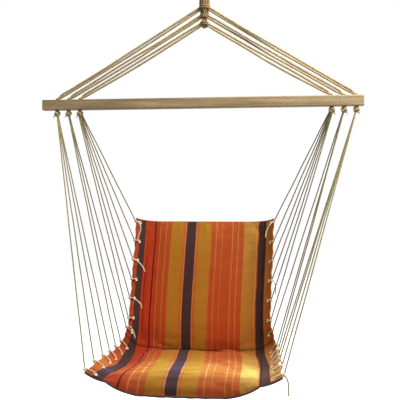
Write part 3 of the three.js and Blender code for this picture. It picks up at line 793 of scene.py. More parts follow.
for (tail_side, tail_index), tail_shares in TAIL_ROUTE_SHARES.items():
    add_tail(tail_side, tail_index, tail_shares)


# Knots, as a short rope wound through itself
KNOT_RING_SHARE = 0.66
KNOT_RISE_SHARE = 0.8
# The length of a knot's route, in radii of its ring, and the fewest steps that draw it smoothly
KNOT_LENGTH_SHARE = 14
LEAST_KNOT_STEPS = 24


def knot_route(centre, radius, thickness, axis, step):
    """Closed three-lobed knot that fills a ball of the given radius."""
    reach = radius - thickness / 2
    ring = reach * KNOT_RING_SHARE
    up = axis.normalized()
    side = up.orthogonal().normalized()
    over = up.cross(side)
    count = max(LEAST_KNOT_STEPS, round(KNOT_LENGTH_SHARE * ring / step))
    route = []
    for t in spaced(0, 2 * pi, count + 1):
        out = along(ring, reach, cos(3 * t))
        flat = side * out * cos(2 * t) + over * out * sin(2 * t)
        route.append(centre + flat + up * reach * KNOT_RISE_SHARE * sin(3 * t))
    return route


def ring_route(centre, radius, turns, climb, step, first_angle=0.0):
    """Turns of rope wound round a vertical axis, from the top down."""
    count = round(2 * pi * radius * turns / step)
    route = []
    for share in spaced(0, 1, count + 1):
        route.append(centre + polar(radius, first_angle + 2 * pi * turns * share, -climb * share))
    return route


# Hanging loop with its seizing

# Each layer of the seizing has a depth, as a share of the string's thickness, and a first angle
SEIZING_LAYERS = ((0.5, 0), (1, pi / 3))
SEIZING_TURNS = 4
LOOP_STEP = 0.002
LOOP_ROPE_SIDES = 6
LOOP_ROPE_PITCH = 0.034
LOOP_NECK_SHARE = 1.5


def add_hanging_loop():
    top = EYE_ROPE_DIAMETER / 2
    leg = EYE_ROPE_DIAMETER * EYE_LEG_SHARE
    bottom = -THROAT_DROP + THROAT_KNOT_RADIUS + CLEARANCE
    neck = bottom + EYE_SEIZING_HEIGHT * LOOP_NECK_SHARE
    outline = [(out * EYE_WIDTH / 2, along(neck, top, up)) for out, up in EYE_OUTLINE_SHARES]
    half = [(leg, bottom), (leg, neck), *outline]
    points = [(x, 0, z) for x, z in half] + [(0, 0, top)] + [(-x, 0, z) for x, z in reversed(half)]
    soup = Soup()
    section = rope_section(EYE_ROPE_DIAMETER, LOOP_ROPE_SIDES)
    soup.sweep(smooth_route(points, LOOP_STEP), section, LOOP_ROPE_PITCH)
    wound = Vector((0, 0, bottom + EYE_SEIZING_HEIGHT - STRING_DIAMETER / 2))
    climb = EYE_SEIZING_HEIGHT - STRING_DIAMETER
    for depth, first_angle in SEIZING_LAYERS:
        radius = EYE_SEIZING_RADIUS - STRING_DIAMETER * depth
        soup.string(ring_route(wound, radius, SEIZING_TURNS, climb, STRING_STEP, first_angle))
    eye = add_object("hanging_loop", soup.mesh("hanging_loop"), ROPE_COTTON, "hanger")
    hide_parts("hanging_eye")


add_hanging_loop()


# Round throat knot: two windings of rope over each other round a core

THROAT_ROPE_SHARE = 0.8
THROAT_ROPE_DIAMETER = ROPE_DIAMETER * THROAT_ROPE_SHARE
THROAT_CORE_SIDES = 12
# Each winding's tilt and its first angle
THROAT_WINDINGS = ((0, 0), (0.45, 1.2))
THROAT_TURNS = 5
THROAT_WINDING_POINTS = 190


def add_throat_knot():
    centre = Vector((0, 0, -THROAT_DROP))
    reach = THROAT_KNOT_RADIUS - THROAT_ROPE_DIAMETER / 2
    soup = Soup()
    for tilt, first_angle in THROAT_WINDINGS:
        route = []
        for share in spaced(0, 1, THROAT_WINDING_POINTS):
            ring = sin(pi * share)
            angle = first_angle + 2 * pi * THROAT_TURNS * share
            spot = polar(ring, angle, cos(pi * share) + tilt * ring * cos(angle))
            route.append(centre + spot.normalized() * reach)
        soup.sweep(route, rope_section(THROAT_ROPE_DIAMETER, ROPE_SIDES), ROPE_PITCH)
    through = Vector((0, 0, THROAT_KNOT_RADIUS - CLEARANCE))
    core = smooth_route([centre + through, centre - through], LOOP_STEP)
    soup.sweep(core, round_section(THROAT_ROPE_DIAMETER, THROAT_CORE_SIDES))
    knot = add_object("wound_throat_knot", soup.mesh("wound_throat_knot"), ROPE_COTTON, "throat")
    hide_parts("throat_knot")


add_throat_knot()


# Bundle under the throat: strands that run down side by side round a core, tied round at each tier
BUNDLE_TOP = -THROAT_DROP - THROAT_KNOT_RADIUS - CLEARANCE
BUNDLE_BOTTOM = -TIER_DROPS["inner"] - BUNDLE_TIER_REACH
BUNDLE_TAPER_SHARES = (0.2, 0.7)
BUNDLE_STRANDS = 12
BUNDLE_TWIST = 1.6
BUNDLE_LEVELS = 12
LOWEST_LEVEL_RISE = 0.002
STRAND_PAST_TIER = 0.004
STRAND_DEPTH_SHARE = 0.62
CORE_DIAMETER = 0.016
CORE_PITCH = 0.05
CORE_STEP = 0.003
CORE_RISE = 0.004
WRAP_DEPTH = 0.001
WRAP_TURNS = 1.9
WRAP_START_SHARE = 0.9
WRAP_CLIMB_SHARE = 1.5
WRAP_ROPE_SHARE = 0.85
WRAP_ANGLE_PER_METRE = 90
BUNDLE_KNOT_RADIUS = 0.011
BUNDLE_KNOT_RISE = 0.006


def bundle_radius(z):
    share = smoothstep((BUNDLE_TOP - z) / (BUNDLE_TOP - BUNDLE_BOTTOM), *BUNDLE_TAPER_SHARES)
    return along(BUNDLE_TOP_RADIUS, BUNDLE_BOTTOM_RADIUS, share)


def add_rope_bundle():
    soup = Soup()
    drops = list(TIER_DROPS.values())
    levels = spaced(BUNDLE_TOP, BUNDLE_BOTTOM + LOWEST_LEVEL_RISE, BUNDLE_LEVELS)
    for i in range(BUNDLE_STRANDS):
        bottom = -drops[i % len(drops)] - STRAND_PAST_TIER
        points = []
        for z in [level for level in levels if level > bottom] + [bottom]:
            reach = bundle_radius(z) - ROPE_DIAMETER * STRAND_DEPTH_SHARE
            twist = BUNDLE_TWIST * (BUNDLE_TOP - z) / (BUNDLE_TOP - BUNDLE_BOTTOM)
            points.append(polar(reach, 2 * pi * (i + 0.5) / BUNDLE_STRANDS + twist, z))
        soup.rope(smooth_route(points, ROPE_STEP))
    core = smooth_route([(0, 0, BUNDLE_TOP), (0, 0, BUNDLE_BOTTOM + CORE_RISE)], CORE_STEP)
    soup.sweep(core, rope_section(CORE_DIAMETER, ROPE_SIDES), CORE_PITCH)
    for drop in drops:
        radius = bundle_radius(-drop) - WRAP_DEPTH
        start = Vector((0, 0, -drop + ROPE_DIAMETER * WRAP_START_SHARE))
        climb = ROPE_DIAMETER * WRAP_CLIMB_SHARE
        route = ring_route(start, radius, WRAP_TURNS, climb, ROPE_STEP, drop * WRAP_ANGLE_PER_METRE)
        soup.sweep(route, rope_section(ROPE_DIAMETER * WRAP_ROPE_SHARE, ROPE_SIDES), ROPE_PITCH)
    centre = Vector((0, 0, BUNDLE_BOTTOM + BUNDLE_KNOT_RISE))
    soup.rope(knot_route(centre, BUNDLE_KNOT_RADIUS, ROPE_DIAMETER, Vector((0, 0, 1)), ROPE_STEP))
    bundle = add_object("strand_bundle", soup.mesh("strand_bundle"), BUNDLE_COTTON, "spreader")
    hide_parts("rope_bundle")


add_rope_bundle()


# Suspension ropes: two strands each, from the bundle through the bar into a stopper knot
STRAND_START_DEPTH = 0.004
STRAND_POINTS = 14
BEND_OUT = 0.016
BEND_UP = 0.012
STRAND_BELLY = 0.0022
BELLY_SHARES = {"outer": 0.4, "middle": 0.7, "inner": 1.0}
STRAND_TURN = 1.4
STRAND_WANDER = 0.0012
STRAND_SAG = 0.0025
MOUTH_OUT = 0.0025
MOUTH_UP = 0.003
HOLE_END_DEPTH = 0.004
STOPPER_KNOT_AXES = ((-0.3, 1, 0.4), (-1, 0.2, -0.5))
KNOT_THROUGH_SHARE = 1.08
# Frayed ends of the knots: where they start, which way they hang, and their fibres
FRAY_START = (0.004, -0.004, -0.004)
FRAY_WAY = (0.45, -0.35, -0.85)
FRAY_LENGTH = 0.013
FRAY_SPREAD = 0.004
FRAY_FIBRES = 9
FRAY_BEND_SHARE = 0.4
SHORTEST_FIBRE_SHARE = 0.75


def mirrored(side, numbers):
    """A vector given for the right side, with its X turned round on the left one."""
    x, y, z = numbers
    return Vector((SIDES[side] * x, y, z))


def strand_route(side, hole, which):
    """Middle of one of the two strands. They lie apart in the air and close together at both ends."""
    way = SIDES[side]
    tier = HOLES.index(hole)
    sign = 1 if which == 0 else -1
    start = Vector((way * (bundle_radius(-TIER_DROPS[hole]) - STRAND_START_DEPTH), 0, -TIER_DROPS[hole]))
    knot = stopper_knot_place(side, hole)
    mouth = Vector((knot.x, 0, BAR_TOP))
    bend_start = mouth + mirrored(side, (-BEND_OUT, 0, BEND_UP))
    run = (bend_start - start).normalized()
    square = Vector((run.z, 0, -run.x)) * way
    points = []
    # The numbers in the noise only give each strand a stretch of its own
    for share in spaced(0, 1, STRAND_POINTS):
        belly = sin(pi * share)
        wander = STRAND_WANDER * noise.noise(Vector((share * 2.3, tier * 7 + way * 3, which * 5)))
        turn = STRAND_TURN * belly * noise.noise(Vector((share * 2, way, tier * 4)))
        apart = sign * (STRAND_SPACING / 2 + STRAND_BELLY * belly * BELLY_SHARES[hole])
        spot = start.lerp(bend_start, share) + square * (apart * cos(turn) + wander)
        points.append(spot + Vector((0, apart * sin(turn), -STRAND_SAG * belly)))
    beside = mirrored(side, (sign * STRAND_SPACING / 2, 0, 0))
    points.append(mouth + mirrored(side, (-MOUTH_OUT, 0, MOUTH_UP)) + beside)
    for z in spaced(BAR_TOP - HOLE_END_DEPTH, knot.z + HOLE_END_DEPTH, 4):
        points.append(Vector((knot.x, 0, z)) + beside)
    return points


def add_frayed_end(soup, top, down, seed):
    """Loose fibres that hang from a cut rope end."""
    noise.seed_set(seed)
    for _ in range(FRAY_FIBRES):
        lean = Vector(noise.random_unit_vector(size=3)) * FRAY_SPREAD
        middle = top + down * FRAY_LENGTH / 2 + lean * FRAY_BEND_SHARE
        tip = top + down * FRAY_LENGTH * along(SHORTEST_FIBRE_SHARE, 1, noise.random()) + lean
        soup.sweep(smooth_route([top, middle, tip], FRAY_LENGTH / 5), FIBRE_SECTION)


def add_suspension_rope(side, hole):
    soup = Soup()
    for which in (0, 1):
        soup.rope(smooth_route(strand_route(side, hole, which), ROPE_STEP))
    centre = stopper_knot_place(side, hole)
    for axis in STOPPER_KNOT_AXES:
        soup.rope(knot_route(centre, STOPPER_KNOT_RADIUS, ROPE_DIAMETER, mirrored(side, axis), ROPE_STEP))
    through = string_row(side, hole)[1] * STOPPER_KNOT_RADIUS * KNOT_THROUGH_SHARE
    soup.rope(smooth_route([centre + through, centre - through], ROPE_STEP))
    seed = HOLES.index(hole) + 10 * (SIDES[side] + 2)
    add_frayed_end(soup, centre + mirrored(side, FRAY_START), mirrored(side, FRAY_WAY), seed)
    name = f"suspension_rope_{side}_{hole}"
    rope = add_object(f"{name}_strands", soup.mesh(name), ROPE_COTTON, "spreader")
    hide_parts(name)


for rope_side in SIDES:
    for rope_hole in HOLES:
        add_suspension_rope(rope_side, rope_hole)


# Spreader bar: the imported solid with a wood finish
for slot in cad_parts["spreader_bar"].material_slots:
    slot.material = BAR_WOOD


# Harness strings: down from the stopper knot, tied at the hem's edge and looped through the eyelet

# The strings are pressed together in their knot, so that they stand closer than their own thickness
GATHERED_SHARE = 0.75
STRING_START_DEPTH = 0.001
STRING_POINTS = 9
STRING_WANDER = 0.0012
HEM_KNOT_TILT = Vector((0.2, 0.6, 0.1))
HEM_KNOT_LEANS = (Vector((0, 0, 0)), Vector((0.9, -0.4, 0.3)))


def string_top(side, index):
    """Where the string leaves its stopper knot, in a row with its neighbours so that none crosses."""
    hole = string_hole(index)
    members, row = string_row(side, hole)
    offset = (members.index(index) - (len(members) - 1) / 2) * STRING_DIAMETER * GATHERED_SHARE
    in_row = stopper_knot_place(side, hole) + row * offset
    return in_row + (hem_knot_place(side, index) - in_row).normalized() * STRING_START_DEPTH


def beside_hem(side, index, inward, height):
    across = SIDES[side] * (CLOTH_HALF_WIDTH - max(inward, 0))
    point, outward, square = sling_frame(EYELET_PLACES[index], across)
    return point + outward * max(-inward, 0) + square * height


def eyelet_loop():
    """The loop's outline through the eyelet, as distances inward from the hem's edge and off the cloth."""
    bend = EYELET_BEND_RADIUS
    over_hem = HEM_THICKNESS / 2 + EYELET_PROUD + STRING_DIAMETER / 2 + CLEARANCE
    bend_start = EYELET_INSET - bend
    bend_turn = radians(EYELET_BEND_DEG)
    half = [
        (-HEM_KNOT_RADIUS * HEM_KNOT_DEPTH_SHARE, HEM_KNOT_RADIUS * HEM_KNOT_SIDE_SHARE),
        (-STRING_DIAMETER / 4, over_hem),
        (bend_start, max(bend, over_hem)),
        (bend_start + bend * sin(bend_turn), bend * cos(bend_turn)),
    ]
    return half + [(inward, -height) for inward, height in reversed(half)]


def add_harness_string(side, index):
    knot = hem_knot_place(side, index)
    top = string_top(side, index)
    straight = [top.lerp(knot, share) for share in spaced(0, 1, STRING_POINTS)]
    # The numbers in the noise only give each string a stretch of its own
    for place, point in enumerate(straight[1:-1]):
        point += noise.noise_vector(Vector((index * 3.1, SIDES[side] * 5, place * 0.9))) * STRING_WANDER
    soup = Soup()
    soup.string(smooth_route(straight, STRING_STEP))
    first_pale_face = len(soup.faces)
    soup.string(smooth_route([beside_hem(side, index, *spot) for spot in eyelet_loop()], STRING_STEP))
    axis = (knot - top).normalized() + HEM_KNOT_TILT
    for lean in HEM_KNOT_LEANS:
        soup.string(knot_route(knot, HEM_KNOT_RADIUS, STRING_DIAMETER, axis + lean, STRING_STEP))
    name = numbered("harness_string", side, index)
    string = add_object(f"{name}_twisted", soup.mesh(name), STRING_COTTON, "sling")
    # The eyelet loop and the hem knots get the pale cotton: cleaner, and painted paler as painted light
    string.data.materials.append(PALE_COTTON)
    for polygon in string.data.polygons[first_pale_face:]:
        polygon.material_index = 1
    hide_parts(name)


for string_side, string_index in LACES:
    add_harness_string(string_side, string_index)


# Cloth grids

# The seat's cloth is sewn on a little askew: how far its stripes stray, and from the crease to where. They
# run straight again at the seat's front left, which starts and ends at these distances out and along.
STRIPE_SKEW = 0.018
STRIPE_SKEW_END = 0.30
STRAIGHT_OUT = (0.10, 0.20)
STRAIGHT_ALONG = (0.26, 0.44)


def stripe_across(place, across):
    """Where a spot of the sling lies across the woven stripes."""
    left_front = smoothstep(-across, *STRAIGHT_OUT) * smoothstep(place, *STRAIGHT_ALONG)
    return across - STRIPE_SKEW * smoothstep(place, 0, STRIPE_SKEW_END) * (1 - left_front)


def cloth_mesh(name, over, under, places, columns):
    """Closed mesh between two grids of points, with each point's place among the stripes."""
    rows, width = len(over), len(columns)
    below = rows * width
    faces = []
    for row in range(rows - 1):
        for column in range(width - 1):
            a = row * width + column
            b, c, d = a + 1, a + width + 1, a + width
            faces.append((a, b, c, d))
            faces.append((below + a, below + d, below + c, below + b))
    rim = list(range(width - 1))
    rim += [row * width + width - 1 for row in range(rows - 1)]
    rim += [(rows - 1) * width + column for column in range(width - 1, 0, -1)]
    rim += [row * width for row in range(rows - 1, 0, -1)]
    faces += [(a, below + a, below + b, b) for a, b in zip(rim, rim[1:] + rim[:1])]
    values = {
        "across": [stripe_across(place, across) for place in places for across in columns],
        "place": [place for place in places for _ in columns],
    }
    mesh = make_mesh(name, [point for row in over + under for point in row], faces, values=values)
    recalculate_normals(mesh)
    return mesh, rim, below


def recalculate_normals(mesh):
    shape = bmesh.new()
    shape.from_mesh(mesh)
    bmesh.ops.recalc_face_normals(shape, faces=shape.faces)
    shape.to_mesh(mesh)
    shape.free()


LIP_TURNS = spaced(0, pi / 2, 7)[1:]
LIP_FALL_SHARES = spaced(0, 1, 5)[1:]
LIP_START = SEAT_LENGTH - LIP_RADIUS
PAD_COLUMNS = spaced(-PAD_HALF_WIDTH, PAD_HALF_WIDTH, 57)
BACK_ROWS = spaced(-BACK_LENGTH, 0, 61)
SEAT_ROWS = spaced(0, LIP_START, 62)[1:]
# The padding sinks towards the seat's front edge, where it rolls over the lip
FRONT_ROLL_START = 0.36
FRONT_ROLL_DROP = 0.012
FRONT_ROLL_SHARE = 0.55
# The rear cover's gap to the padding, which the lip's bottom seam keeps clear of too
REAR_GAP = 0.0012
REAR_THICKNESS = 0.0008


def front_height(place, across):
    """Height of the padding's front face over the cloth's own surface."""
    half = pad_thickness(place, across) / 2
    drop = min(FRONT_ROLL_DROP, half * FRONT_ROLL_SHARE)
    return half - drop * smoothstep(place, FRONT_ROLL_START, LIP_START)


def rear_row(place, columns, depth=0.0):
    return [off_sling(place, across, -pad_thickness(place, across) / 2 - depth) for across in columns]


def lip_rows():
    """The cover rolls over the padding at the seat's front and runs down to the bottom seam."""
    rows = [[] for _ in LIP_TURNS + LIP_FALL_SHARES]
    for across in PAD_COLUMNS:
        half = pad_thickness(SEAT_LENGTH, across) / 2
        radius = min(LIP_RADIUS, half)
        top = front_height(SEAT_LENGTH, across)
        for row, turn in zip(rows, LIP_TURNS):
            place = SEAT_LENGTH - radius * (1 - sin(turn))
            row.append(off_sling(place, across, top - radius * (1 - cos(turn))))
        for row, fall in zip(rows[len(LIP_TURNS):], LIP_FALL_SHARES):
            row.append(off_sling(SEAT_LENGTH, across, along(top - radius, REAR_GAP - half, fall)))
    places = [LIP_START + LIP_RADIUS * turn for turn in LIP_TURNS]
    seam = places[-1] + SEAT_PAD_THICKNESS - LIP_RADIUS
    return rows, places + [along(places[-1], seam, fall) for fall in LIP_FALL_SHARES]


# Soft folds in the cover: faint level ones on the back and slanting ones at the seat's rear

# A rate is how often the noise changes in a metre. The other pairs are where a change starts and ends.
BACK_FOLD_RATES = (6, 46)
BACK_FOLD_HEIGHTS = (0.0007, 0.0022)
BACK_FOLDS_DEEPEN = (-0.20, -0.01)
SEAT_FOLD_RATES = (34, 7)
SEAT_FOLD_HEIGHT = 0.017
SEAT_FOLD_SLANT_SHARE = 0.7
SEAT_FOLDS_START = (0, 0.02)
SEAT_FOLDS_END = (-0.42, -0.10)
SEAT_FOLD_MIDDLE_SHARE = 0.35
SEAT_FOLD_MIDDLE = (0.03, 0.15)


def ripple(place, across):
    """Height of the soft folds. The last number of each noise vector only picks a layer of its own."""
    inside = 1 - from_middle(across)
    if place < 0:
        sideways, lengthwise = BACK_FOLD_RATES
        level = noise.noise(Vector((across * sideways, place * lengthwise, 2)))
        return inside * level * along(*BACK_FOLD_HEIGHTS, smoothstep(place, *BACK_FOLDS_DEEPEN))
    out = abs(across)
    over_fold, along_fold = SEAT_FOLD_RATES
    slant = out - place * SEAT_FOLD_SLANT_SHARE
    layer = 5 + copysign(1, across)
    fold = noise.noise(Vector((slant * over_fold, (out + place) * along_fold, layer)))
    fading = smoothstep(-place, *SEAT_FOLDS_END) * smoothstep(place, *SEAT_FOLDS_START)
    fading *= along(SEAT_FOLD_MIDDLE_SHARE, 1, smoothstep(out, *SEAT_FOLD_MIDDLE))
    return inside * fold * SEAT_FOLD_HEIGHT * fading


# Cloth simulation that swells the cover
SWELL_FRAMES = 20
SWELL_LIMIT = 0.007
CREASE_PIN_SHARE = 0.9
SWELL_SETTINGS = {
    "quality": 6,
    "mass": 0.3,
    "tension_stiffness": 18,
    "compression_stiffness": 12,
    "shear_stiffness": 6,
    "bending_stiffness": 0.6,
    "use_pressure": True,
    "uniform_pressure_force": 3.5,
    "shrink_min": -0.035,
}


def swell(piece, pins):
    """Swells the piece, holds its pinned points, and limits how far any point moves."""
    group = piece.vertex_groups.new(name="pins")
    for index, weight in pins.items():
        group.add([index], weight, "REPLACE")
    modifier = piece.modifiers.new("cloth", "CLOTH")
    for name, value in SWELL_SETTINGS.items():
        setattr(modifier.settings, name, value)
    modifier.settings.vertex_group_mass = group.name
    modifier.settings.effector_weights.gravity = 0
    modifier.collision_settings.use_collision = False
    modifier.point_cache.frame_start = 1
    modifier.point_cache.frame_end = SWELL_FRAMES
    scene = bpy.context.scene
    for number in range(1, SWELL_FRAMES + 1):
        scene.frame_set(number)
    moved = piece.evaluated_get(bpy.context.evaluated_depsgraph_get())
    spots = [vertex.co.copy() for vertex in moved.data.vertices]
    piece.modifiers.remove(modifier)
    piece.vertex_groups.clear()
    for vertex, spot in zip(piece.data.vertices, spots):
        offset = spot - vertex.co
        length = offset.length
        if length > 0:
            vertex.co += offset * (SWELL_LIMIT * tanh(length / SWELL_LIMIT) / length)
    scene.frame_set(1)


def apply_modifiers(piece):
    evaluated = piece.evaluated_get(bpy.context.evaluated_depsgraph_get())
    mesh = bpy.data.meshes.new_from_object(evaluated)
    piece.modifiers.clear()
    old = piece.data
    piece.data = mesh
    bpy.data.meshes.remove(old)


def subdivide(piece):
    piece.modifiers.new("smooth", "SUBSURF").levels = 1
    apply_modifiers(piece)


# Padded cover of the seat and the back
def add_padded_cover():
    main_rows = BACK_ROWS + SEAT_ROWS
    lips, lip_places = lip_rows()
    over = []
    for place in main_rows:
        over.append([off_sling(place, across, front_height(place, across)) for across in PAD_COLUMNS])
    over += lips
    under_places = main_rows + spaced(LIP_START, SEAT_LENGTH, len(lips) + 1)[1:]
    under = [rear_row(place, PAD_COLUMNS) for place in under_places]
    places = main_rows + lip_places + under_places
    mesh, rim, below = cloth_mesh("padded_cover", over, under, places, PAD_COLUMNS)
    cover = add_object("padded_cover", mesh, STRIPED_CLOTH, "sling")
    columns = len(PAD_COLUMNS)
    crease_start = (len(BACK_ROWS) - 1) * columns
    crease = range(crease_start, crease_start + columns)
    pins = dict.fromkeys(crease, CREASE_PIN_SHARE) | {below + index: 1.0 for index in crease}
    for index in rim:
        pins[index] = 1.0
        pins[below + index] = 1.0
    swell(cover, pins)
    for row, place in enumerate(main_rows):
        for column, across in enumerate(PAD_COLUMNS):
            _, _, square = sling_frame(place, across)
            cover.data.vertices[row * columns + column].co += square * ripple(place, across)
    subdivide(cover)
    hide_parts("front_cloth", "back_padding", "seat_padding")


add_padded_cover()


# Rear cover: a thin sheet on the padding's rear
def add_rear_cover():
    rows = BACK_ROWS[:-1:2] + [0] + SEAT_ROWS[1::2]
    columns = PAD_COLUMNS[::2]
    depths = (REAR_GAP, REAR_GAP + REAR_THICKNESS)
    near, far = ([rear_row(place, columns, depth) for place in rows] for depth in depths)
    mesh, _, _ = cloth_mesh("rear_cover", near, far, rows * 2, columns)
    cover = add_object("rear_cover", mesh, REAR_CLOTH, "sling")
    subdivide(cover)
    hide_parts("rear_cloth")


add_rear_cover()


# Side hems: the cloth is pulled out at each knot and slack between them
HEM_WIDTH = CLOTH_HALF_WIDTH - PAD_HALF_WIDTH
HEM_ROWS = 153
HEM_COLUMNS = 12
HEM_OVERLAP = 0.0005
HEM_DRAW = 0.0035
HEM_WAVE = 0.0016
HEM_WAVE_RATE = 140
# Past the crease two knots stand further apart than this, and the hem is pulled only this near to each
WIDEST_KNOT_GAP = 0.12
KNOT_PULL_REACH = 0.035
# The folded edge is a little thicker, up to this share of the width
EDGE_FOLD_SHARE = 0.92
EDGE_FOLD_SWELL_SHARE = 1.25
PUNCH_REACH = 0.006
PUNCH_SIDES = 16


def hem_slack(place):
    """How slack the hem's edge is: 0 at a knot, 1 halfway between two."""
    nearest, second = sorted(abs(eyelet - place) for eyelet in EYELET_PLACES)[:2]
    if nearest + second > WIDEST_KNOT_GAP:
        return min(1, nearest / KNOT_PULL_REACH)
    return sin(pi * nearest / (nearest + second))


def hem_shape(side, place, share):
    """How far the hem is drawn in, and how high it waves, at a place and a share of its width."""
    slack = hem_slack(place)
    wave = HEM_WAVE * slack * share * sin(place * HEM_WAVE_RATE + SIDES[side])
    return HEM_DRAW * slack * share**2, wave


def add_side_hem(side):
    way = SIDES[side]
    places = spaced(-BACK_LENGTH, SEAT_LENGTH, HEM_ROWS)
    columns = spaced(PAD_HALF_WIDTH - HEM_OVERLAP, CLOTH_HALF_WIDTH, HEM_COLUMNS)

    def face(height):
        grid = [[] for _ in places]
        for row, place in zip(grid, places):
            for across in columns:
                share = (across - columns[0]) / (columns[-1] - columns[0])
                drawn, wave = hem_shape(side, place, share)
                swell_share = EDGE_FOLD_SWELL_SHARE if share > EDGE_FOLD_SHARE else 1
                row.append(off_sling(place, way * (across - drawn), height * swell_share + wave))
        return grid

    half = HEM_THICKNESS / 2
    name = f"hem_cloth_{side}"
    mesh, _, _ = cloth_mesh(name, face(half), face(-half), places * 2, [way * across for across in columns])
    hem = add_object(name, mesh, STRIPED_CLOTH, "sling")
    punch_eyelet_holes(hem, side)
    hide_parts(f"side_hem_{side}")


def punch_eyelet_holes(hem, side):
    section = round_section(EYELET_HOLE_RADIUS + EYELET_OUTER_RADIUS, PUNCH_SIDES)
    soup = Soup()
    for place in EYELET_PLACES:
        across = SIDES[side] * EYELET_ACROSS
        soup.sweep([off_sling(place, across, reach) for reach in (-PUNCH_REACH, PUNCH_REACH)], section)
    punches = place_object("punches", soup.mesh("punches"))
    recalculate_normals(punches.data)
    cut = hem.modifiers.new("holes", "BOOLEAN")
    cut.object = punches
    cut.operation = "DIFFERENCE"
    cut.solver = "EXACT"
    apply_modifiers(hem)
    bpy.data.objects.remove(punches)


for hem_side in SIDES:
    add_side_hem(hem_side)


# Eyelets: rolled metal rings pressed through the hems
RING_ROLL_POINTS = 9
RING_SPOKES = 28
RING_FLAT_SHARE = 0.45


def add_eyelet(side, index):
    point, outward, square = sling_frame(EYELET_PLACES[index], SIDES[side] * EYELET_ACROSS)
    forward = square.cross(outward)
    high = HEM_THICKNESS / 2 + EYELET_PROUD
    middle = (EYELET_HOLE_RADIUS + EYELET_OUTER_RADIUS) / 2
    roll = (EYELET_OUTER_RADIUS - EYELET_HOLE_RADIUS) / 2
    profile = []
    for turn in spaced(0, pi, RING_ROLL_POINTS):
        profile.append((middle + roll * cos(turn), high * along(RING_FLAT_SHARE, 1, sin(turn))))
    profile += [(radius, -height) for radius, height in reversed(profile)]
    count = len(profile)
    points = []
    faces = []
    for i in range(RING_SPOKES):
        angle = 2 * pi * i / RING_SPOKES
        spoke = outward * cos(angle) + forward * sin(angle)
        points += [point + spoke * radius + square * height for radius, height in profile]
        here, after = i * count, (i + 1) % RING_SPOKES * count
        for j in range(count):
            k = (j + 1) % count
            faces.append((here + j, here + k, after + k, after + j))
    name = numbered("eyelet", side, index)
    mesh = make_mesh(name, points, faces)
    recalculate_normals(mesh)
    eyelet = add_object(name, mesh, EYELET_METAL, "sling")


for eyelet_side, eyelet_index in LACES:
    add_eyelet(eyelet_side, eyelet_index)


# Bindings: narrow tapes over the back's top edge, and round the seat's and the hems' front edges
TAPE_SIDES = 8
TOP_TAPE_POINTS = 80
LIP_TAPE_POINTS = 70
HEM_TAPE_POINTS = 14
TOP_TAPE_DIAMETERS = (0.0048, 0.0036)
TOP_TAPE_DROP = 0.001
LIP_TAPE_DIAMETER = 0.0055
LIP_TAPE_INSET = 0.0005
LIP_TAPE_RISE = 0.001
HEM_TAPE_DIAMETER = 0.0066
HEM_TAPE_INSET = 0.001
HEM_TAPE_OVERLAP = 0.002
HEM_TAPE_SAG = 0.002


def add_binding(name, soup, material):
    binding = add_object(name, soup.mesh(name), material, "sling")


def add_top_binding():
    soup = Soup()
    across_cloth = spaced(-CLOTH_HALF_WIDTH, CLOTH_HALF_WIDTH, TOP_TAPE_POINTS)
    route = [sling_point(-BACK_LENGTH, across) - Vector((0, 0, TOP_TAPE_DROP)) for across in across_cloth]
    wide, narrow = (round_section(diameter, TAPE_SIDES) for diameter in TOP_TAPE_DIAMETERS)
    soup.sweep(route, [wide[i] if i % (TAPE_SIDES // 2) == 0 else narrow[i] for i in range(TAPE_SIDES)])
    add_binding("top_binding", soup, RED_BINDING)


def add_lip_binding():
    soup = Soup()
    route = []
    for across in spaced(-PAD_HALF_WIDTH, PAD_HALF_WIDTH, LIP_TAPE_POINTS):
        half = pad_thickness(SEAT_LENGTH, across) / 2
        route.append(off_sling(SEAT_LENGTH - LIP_TAPE_INSET, across, LIP_TAPE_RISE - half))
    soup.sweep(route, round_section(LIP_TAPE_DIAMETER, TAPE_SIDES))
    for way in SIDES.values():
        route = []
        for share in spaced(0, 1, HEM_TAPE_POINTS):
            across = along(PAD_HALF_WIDTH - HEM_TAPE_OVERLAP, CLOTH_HALF_WIDTH - HEM_TAPE_INSET, share)
            hang = HEM_TAPE_INSET + HEM_TAPE_SAG * sin(pi * share)
            route.append(off_sling(SEAT_LENGTH - HEM_TAPE_INSET, way * across, -hang))
        soup.sweep(route, round_section(HEM_TAPE_DIAMETER, TAPE_SIDES))
    add_binding("lip_binding", soup, DARK_BINDING)


add_top_binding()
add_lip_binding()


# Stitching: two rows of small stitches along each hem, near the padding and near the hem's edge
SEAM_TO_PADDING = 0.006
SEAM_TO_EDGE = 0.012
SEAM_INSETS = {"inner": SEAM_TO_PADDING, "outer": HEM_WIDTH - SEAM_TO_EDGE}
SEAM_END_GAP = 0.004
SEAM_SPOTS = 800
STITCH_LENGTH = 0.0035
STITCH_GAP = 0.0018
STITCH_DEPTH = 0.0003
STITCH_LIFT = 0.0002
# A stitch's outline: how far along it, as a share of its length, and how high over the cloth
STITCH_OUTLINE = ((0, -STITCH_DEPTH), (0.2, STITCH_LIFT), (0.8, STITCH_LIFT), (1, -STITCH_DEPTH))


def seam_spots(side, inset):
    """Spots on the hem's front face along a seam, each with the way square to the cloth."""
    for place in spaced(-BACK_LENGTH + SEAM_END_GAP, SEAT_LENGTH - SEAM_END_GAP, SEAM_SPOTS):
        drawn, wave = hem_shape(side, place, inset / HEM_WIDTH)
        point, _, square = sling_frame(place, SIDES[side] * (PAD_HALF_WIDTH + inset - drawn))
        yield point + square * (HEM_THICKNESS / 2 + wave), square


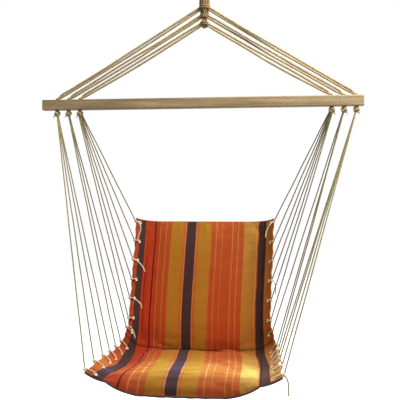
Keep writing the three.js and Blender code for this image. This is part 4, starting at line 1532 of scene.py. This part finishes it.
def add_hem_stitching(side, label, inset):
    spots = list(seam_spots(side, inset))
    soup = Soup()
    travelled = 0
    next_start = 0
    for (a, square), (b, _) in zip(spots, spots[1:]):
        travelled += (b - a).length
        if travelled >= next_start:
            stitch = (b - a).normalized() * STITCH_LENGTH
            route = [a + stitch * share + square * height for share, height in STITCH_OUTLINE]
            soup.sweep(route, FIBRE_SECTION)
            next_start = travelled + STITCH_LENGTH + STITCH_GAP
    add_binding(f"hem_stitching_{side}_{label}", soup, THREAD)


for seam_side in SIDES:
    for seam_label, seam_inset in SEAM_INSETS.items():
        add_hem_stitching(seam_side, seam_label, seam_inset)


# Floor, light and background
FLOOR_HEIGHT = -1.66
FLOOR_HALF_WIDTH = 6
FLOOR_GREY = (0.75, 0.75, 0.74, 1)
FLOOR_GLOW = 0.78
SKY_STRENGTH = 0.36
# Lamps: place, what each points at, size, power and colour
LAMPS = {
    "key": ((0.9, -0.5, 0.8), (0.05, -0.05, -1.1), 1.3, 78, (1, 0.98, 0.90)),
    "fill": ((-1.4, -2.2, 0.3), (0, 0, -0.8), 1.8, 7, (1, 1, 1)),
    "rear_fill": ((0.4, 2.0, 0.6), (0, 0, -0.7), 1.6, 18, (1, 1, 1)),
}


def seen_by_camera(nodes):
    """1 for rays from the camera, or through gloss and glass, that should see the white background."""
    rays = nodes.add("LightPath")
    seen = nodes.math("MAXIMUM", rays["Is Camera Ray"], rays["Is Glossy Ray"])
    return nodes.math("MAXIMUM", seen, rays["Is Transmission Ray"])


def light_world():
    world = bpy.data.worlds.new("studio")
    bpy.context.scene.world = world
    nodes = Nodes(world, "Background")
    level = nodes.math("MULTIPLY_ADD", seen_by_camera(nodes), 1 - SKY_STRENGTH, SKY_STRENGTH)
    nodes.set(Color=WHITE, Strength=level)


def add_floor():
    material, nodes = new_material("floor", roughness=0.9)
    glow = nodes.math("MULTIPLY", seen_by_camera(nodes), FLOOR_GLOW)
    nodes.set(Base_Color=FLOOR_GREY, Emission_Color=WHITE, Emission_Strength=glow)
    corners = []
    for x, y in ((-1, -1), (1, -1), (1, 1), (-1, 1)):
        corners.append((x * FLOOR_HALF_WIDTH, y * FLOOR_HALF_WIDTH, FLOOR_HEIGHT))
    mesh = make_mesh("floor", corners, [(0, 1, 2, 3)])
    mesh.materials.append(material)
    place_object("floor", mesh)


def add_lamp(name, location, target, size, power, colour):
    data = bpy.data.lights.new(name, "AREA")
    data.shape = "DISK"
    data.size = size
    data.energy = power
    data.color = colour
    lamp = place_object(name, data)
    lamp.location = location
    lamp.rotation_euler = (Vector(target) - Vector(location)).to_track_quat("-Z", "Y").to_euler()


light_world()
add_floor()
for lamp_name, lamp_values in LAMPS.items():
    add_lamp(lamp_name, *lamp_values)
bpy.context.scene.view_settings.view_transform = "Standard"
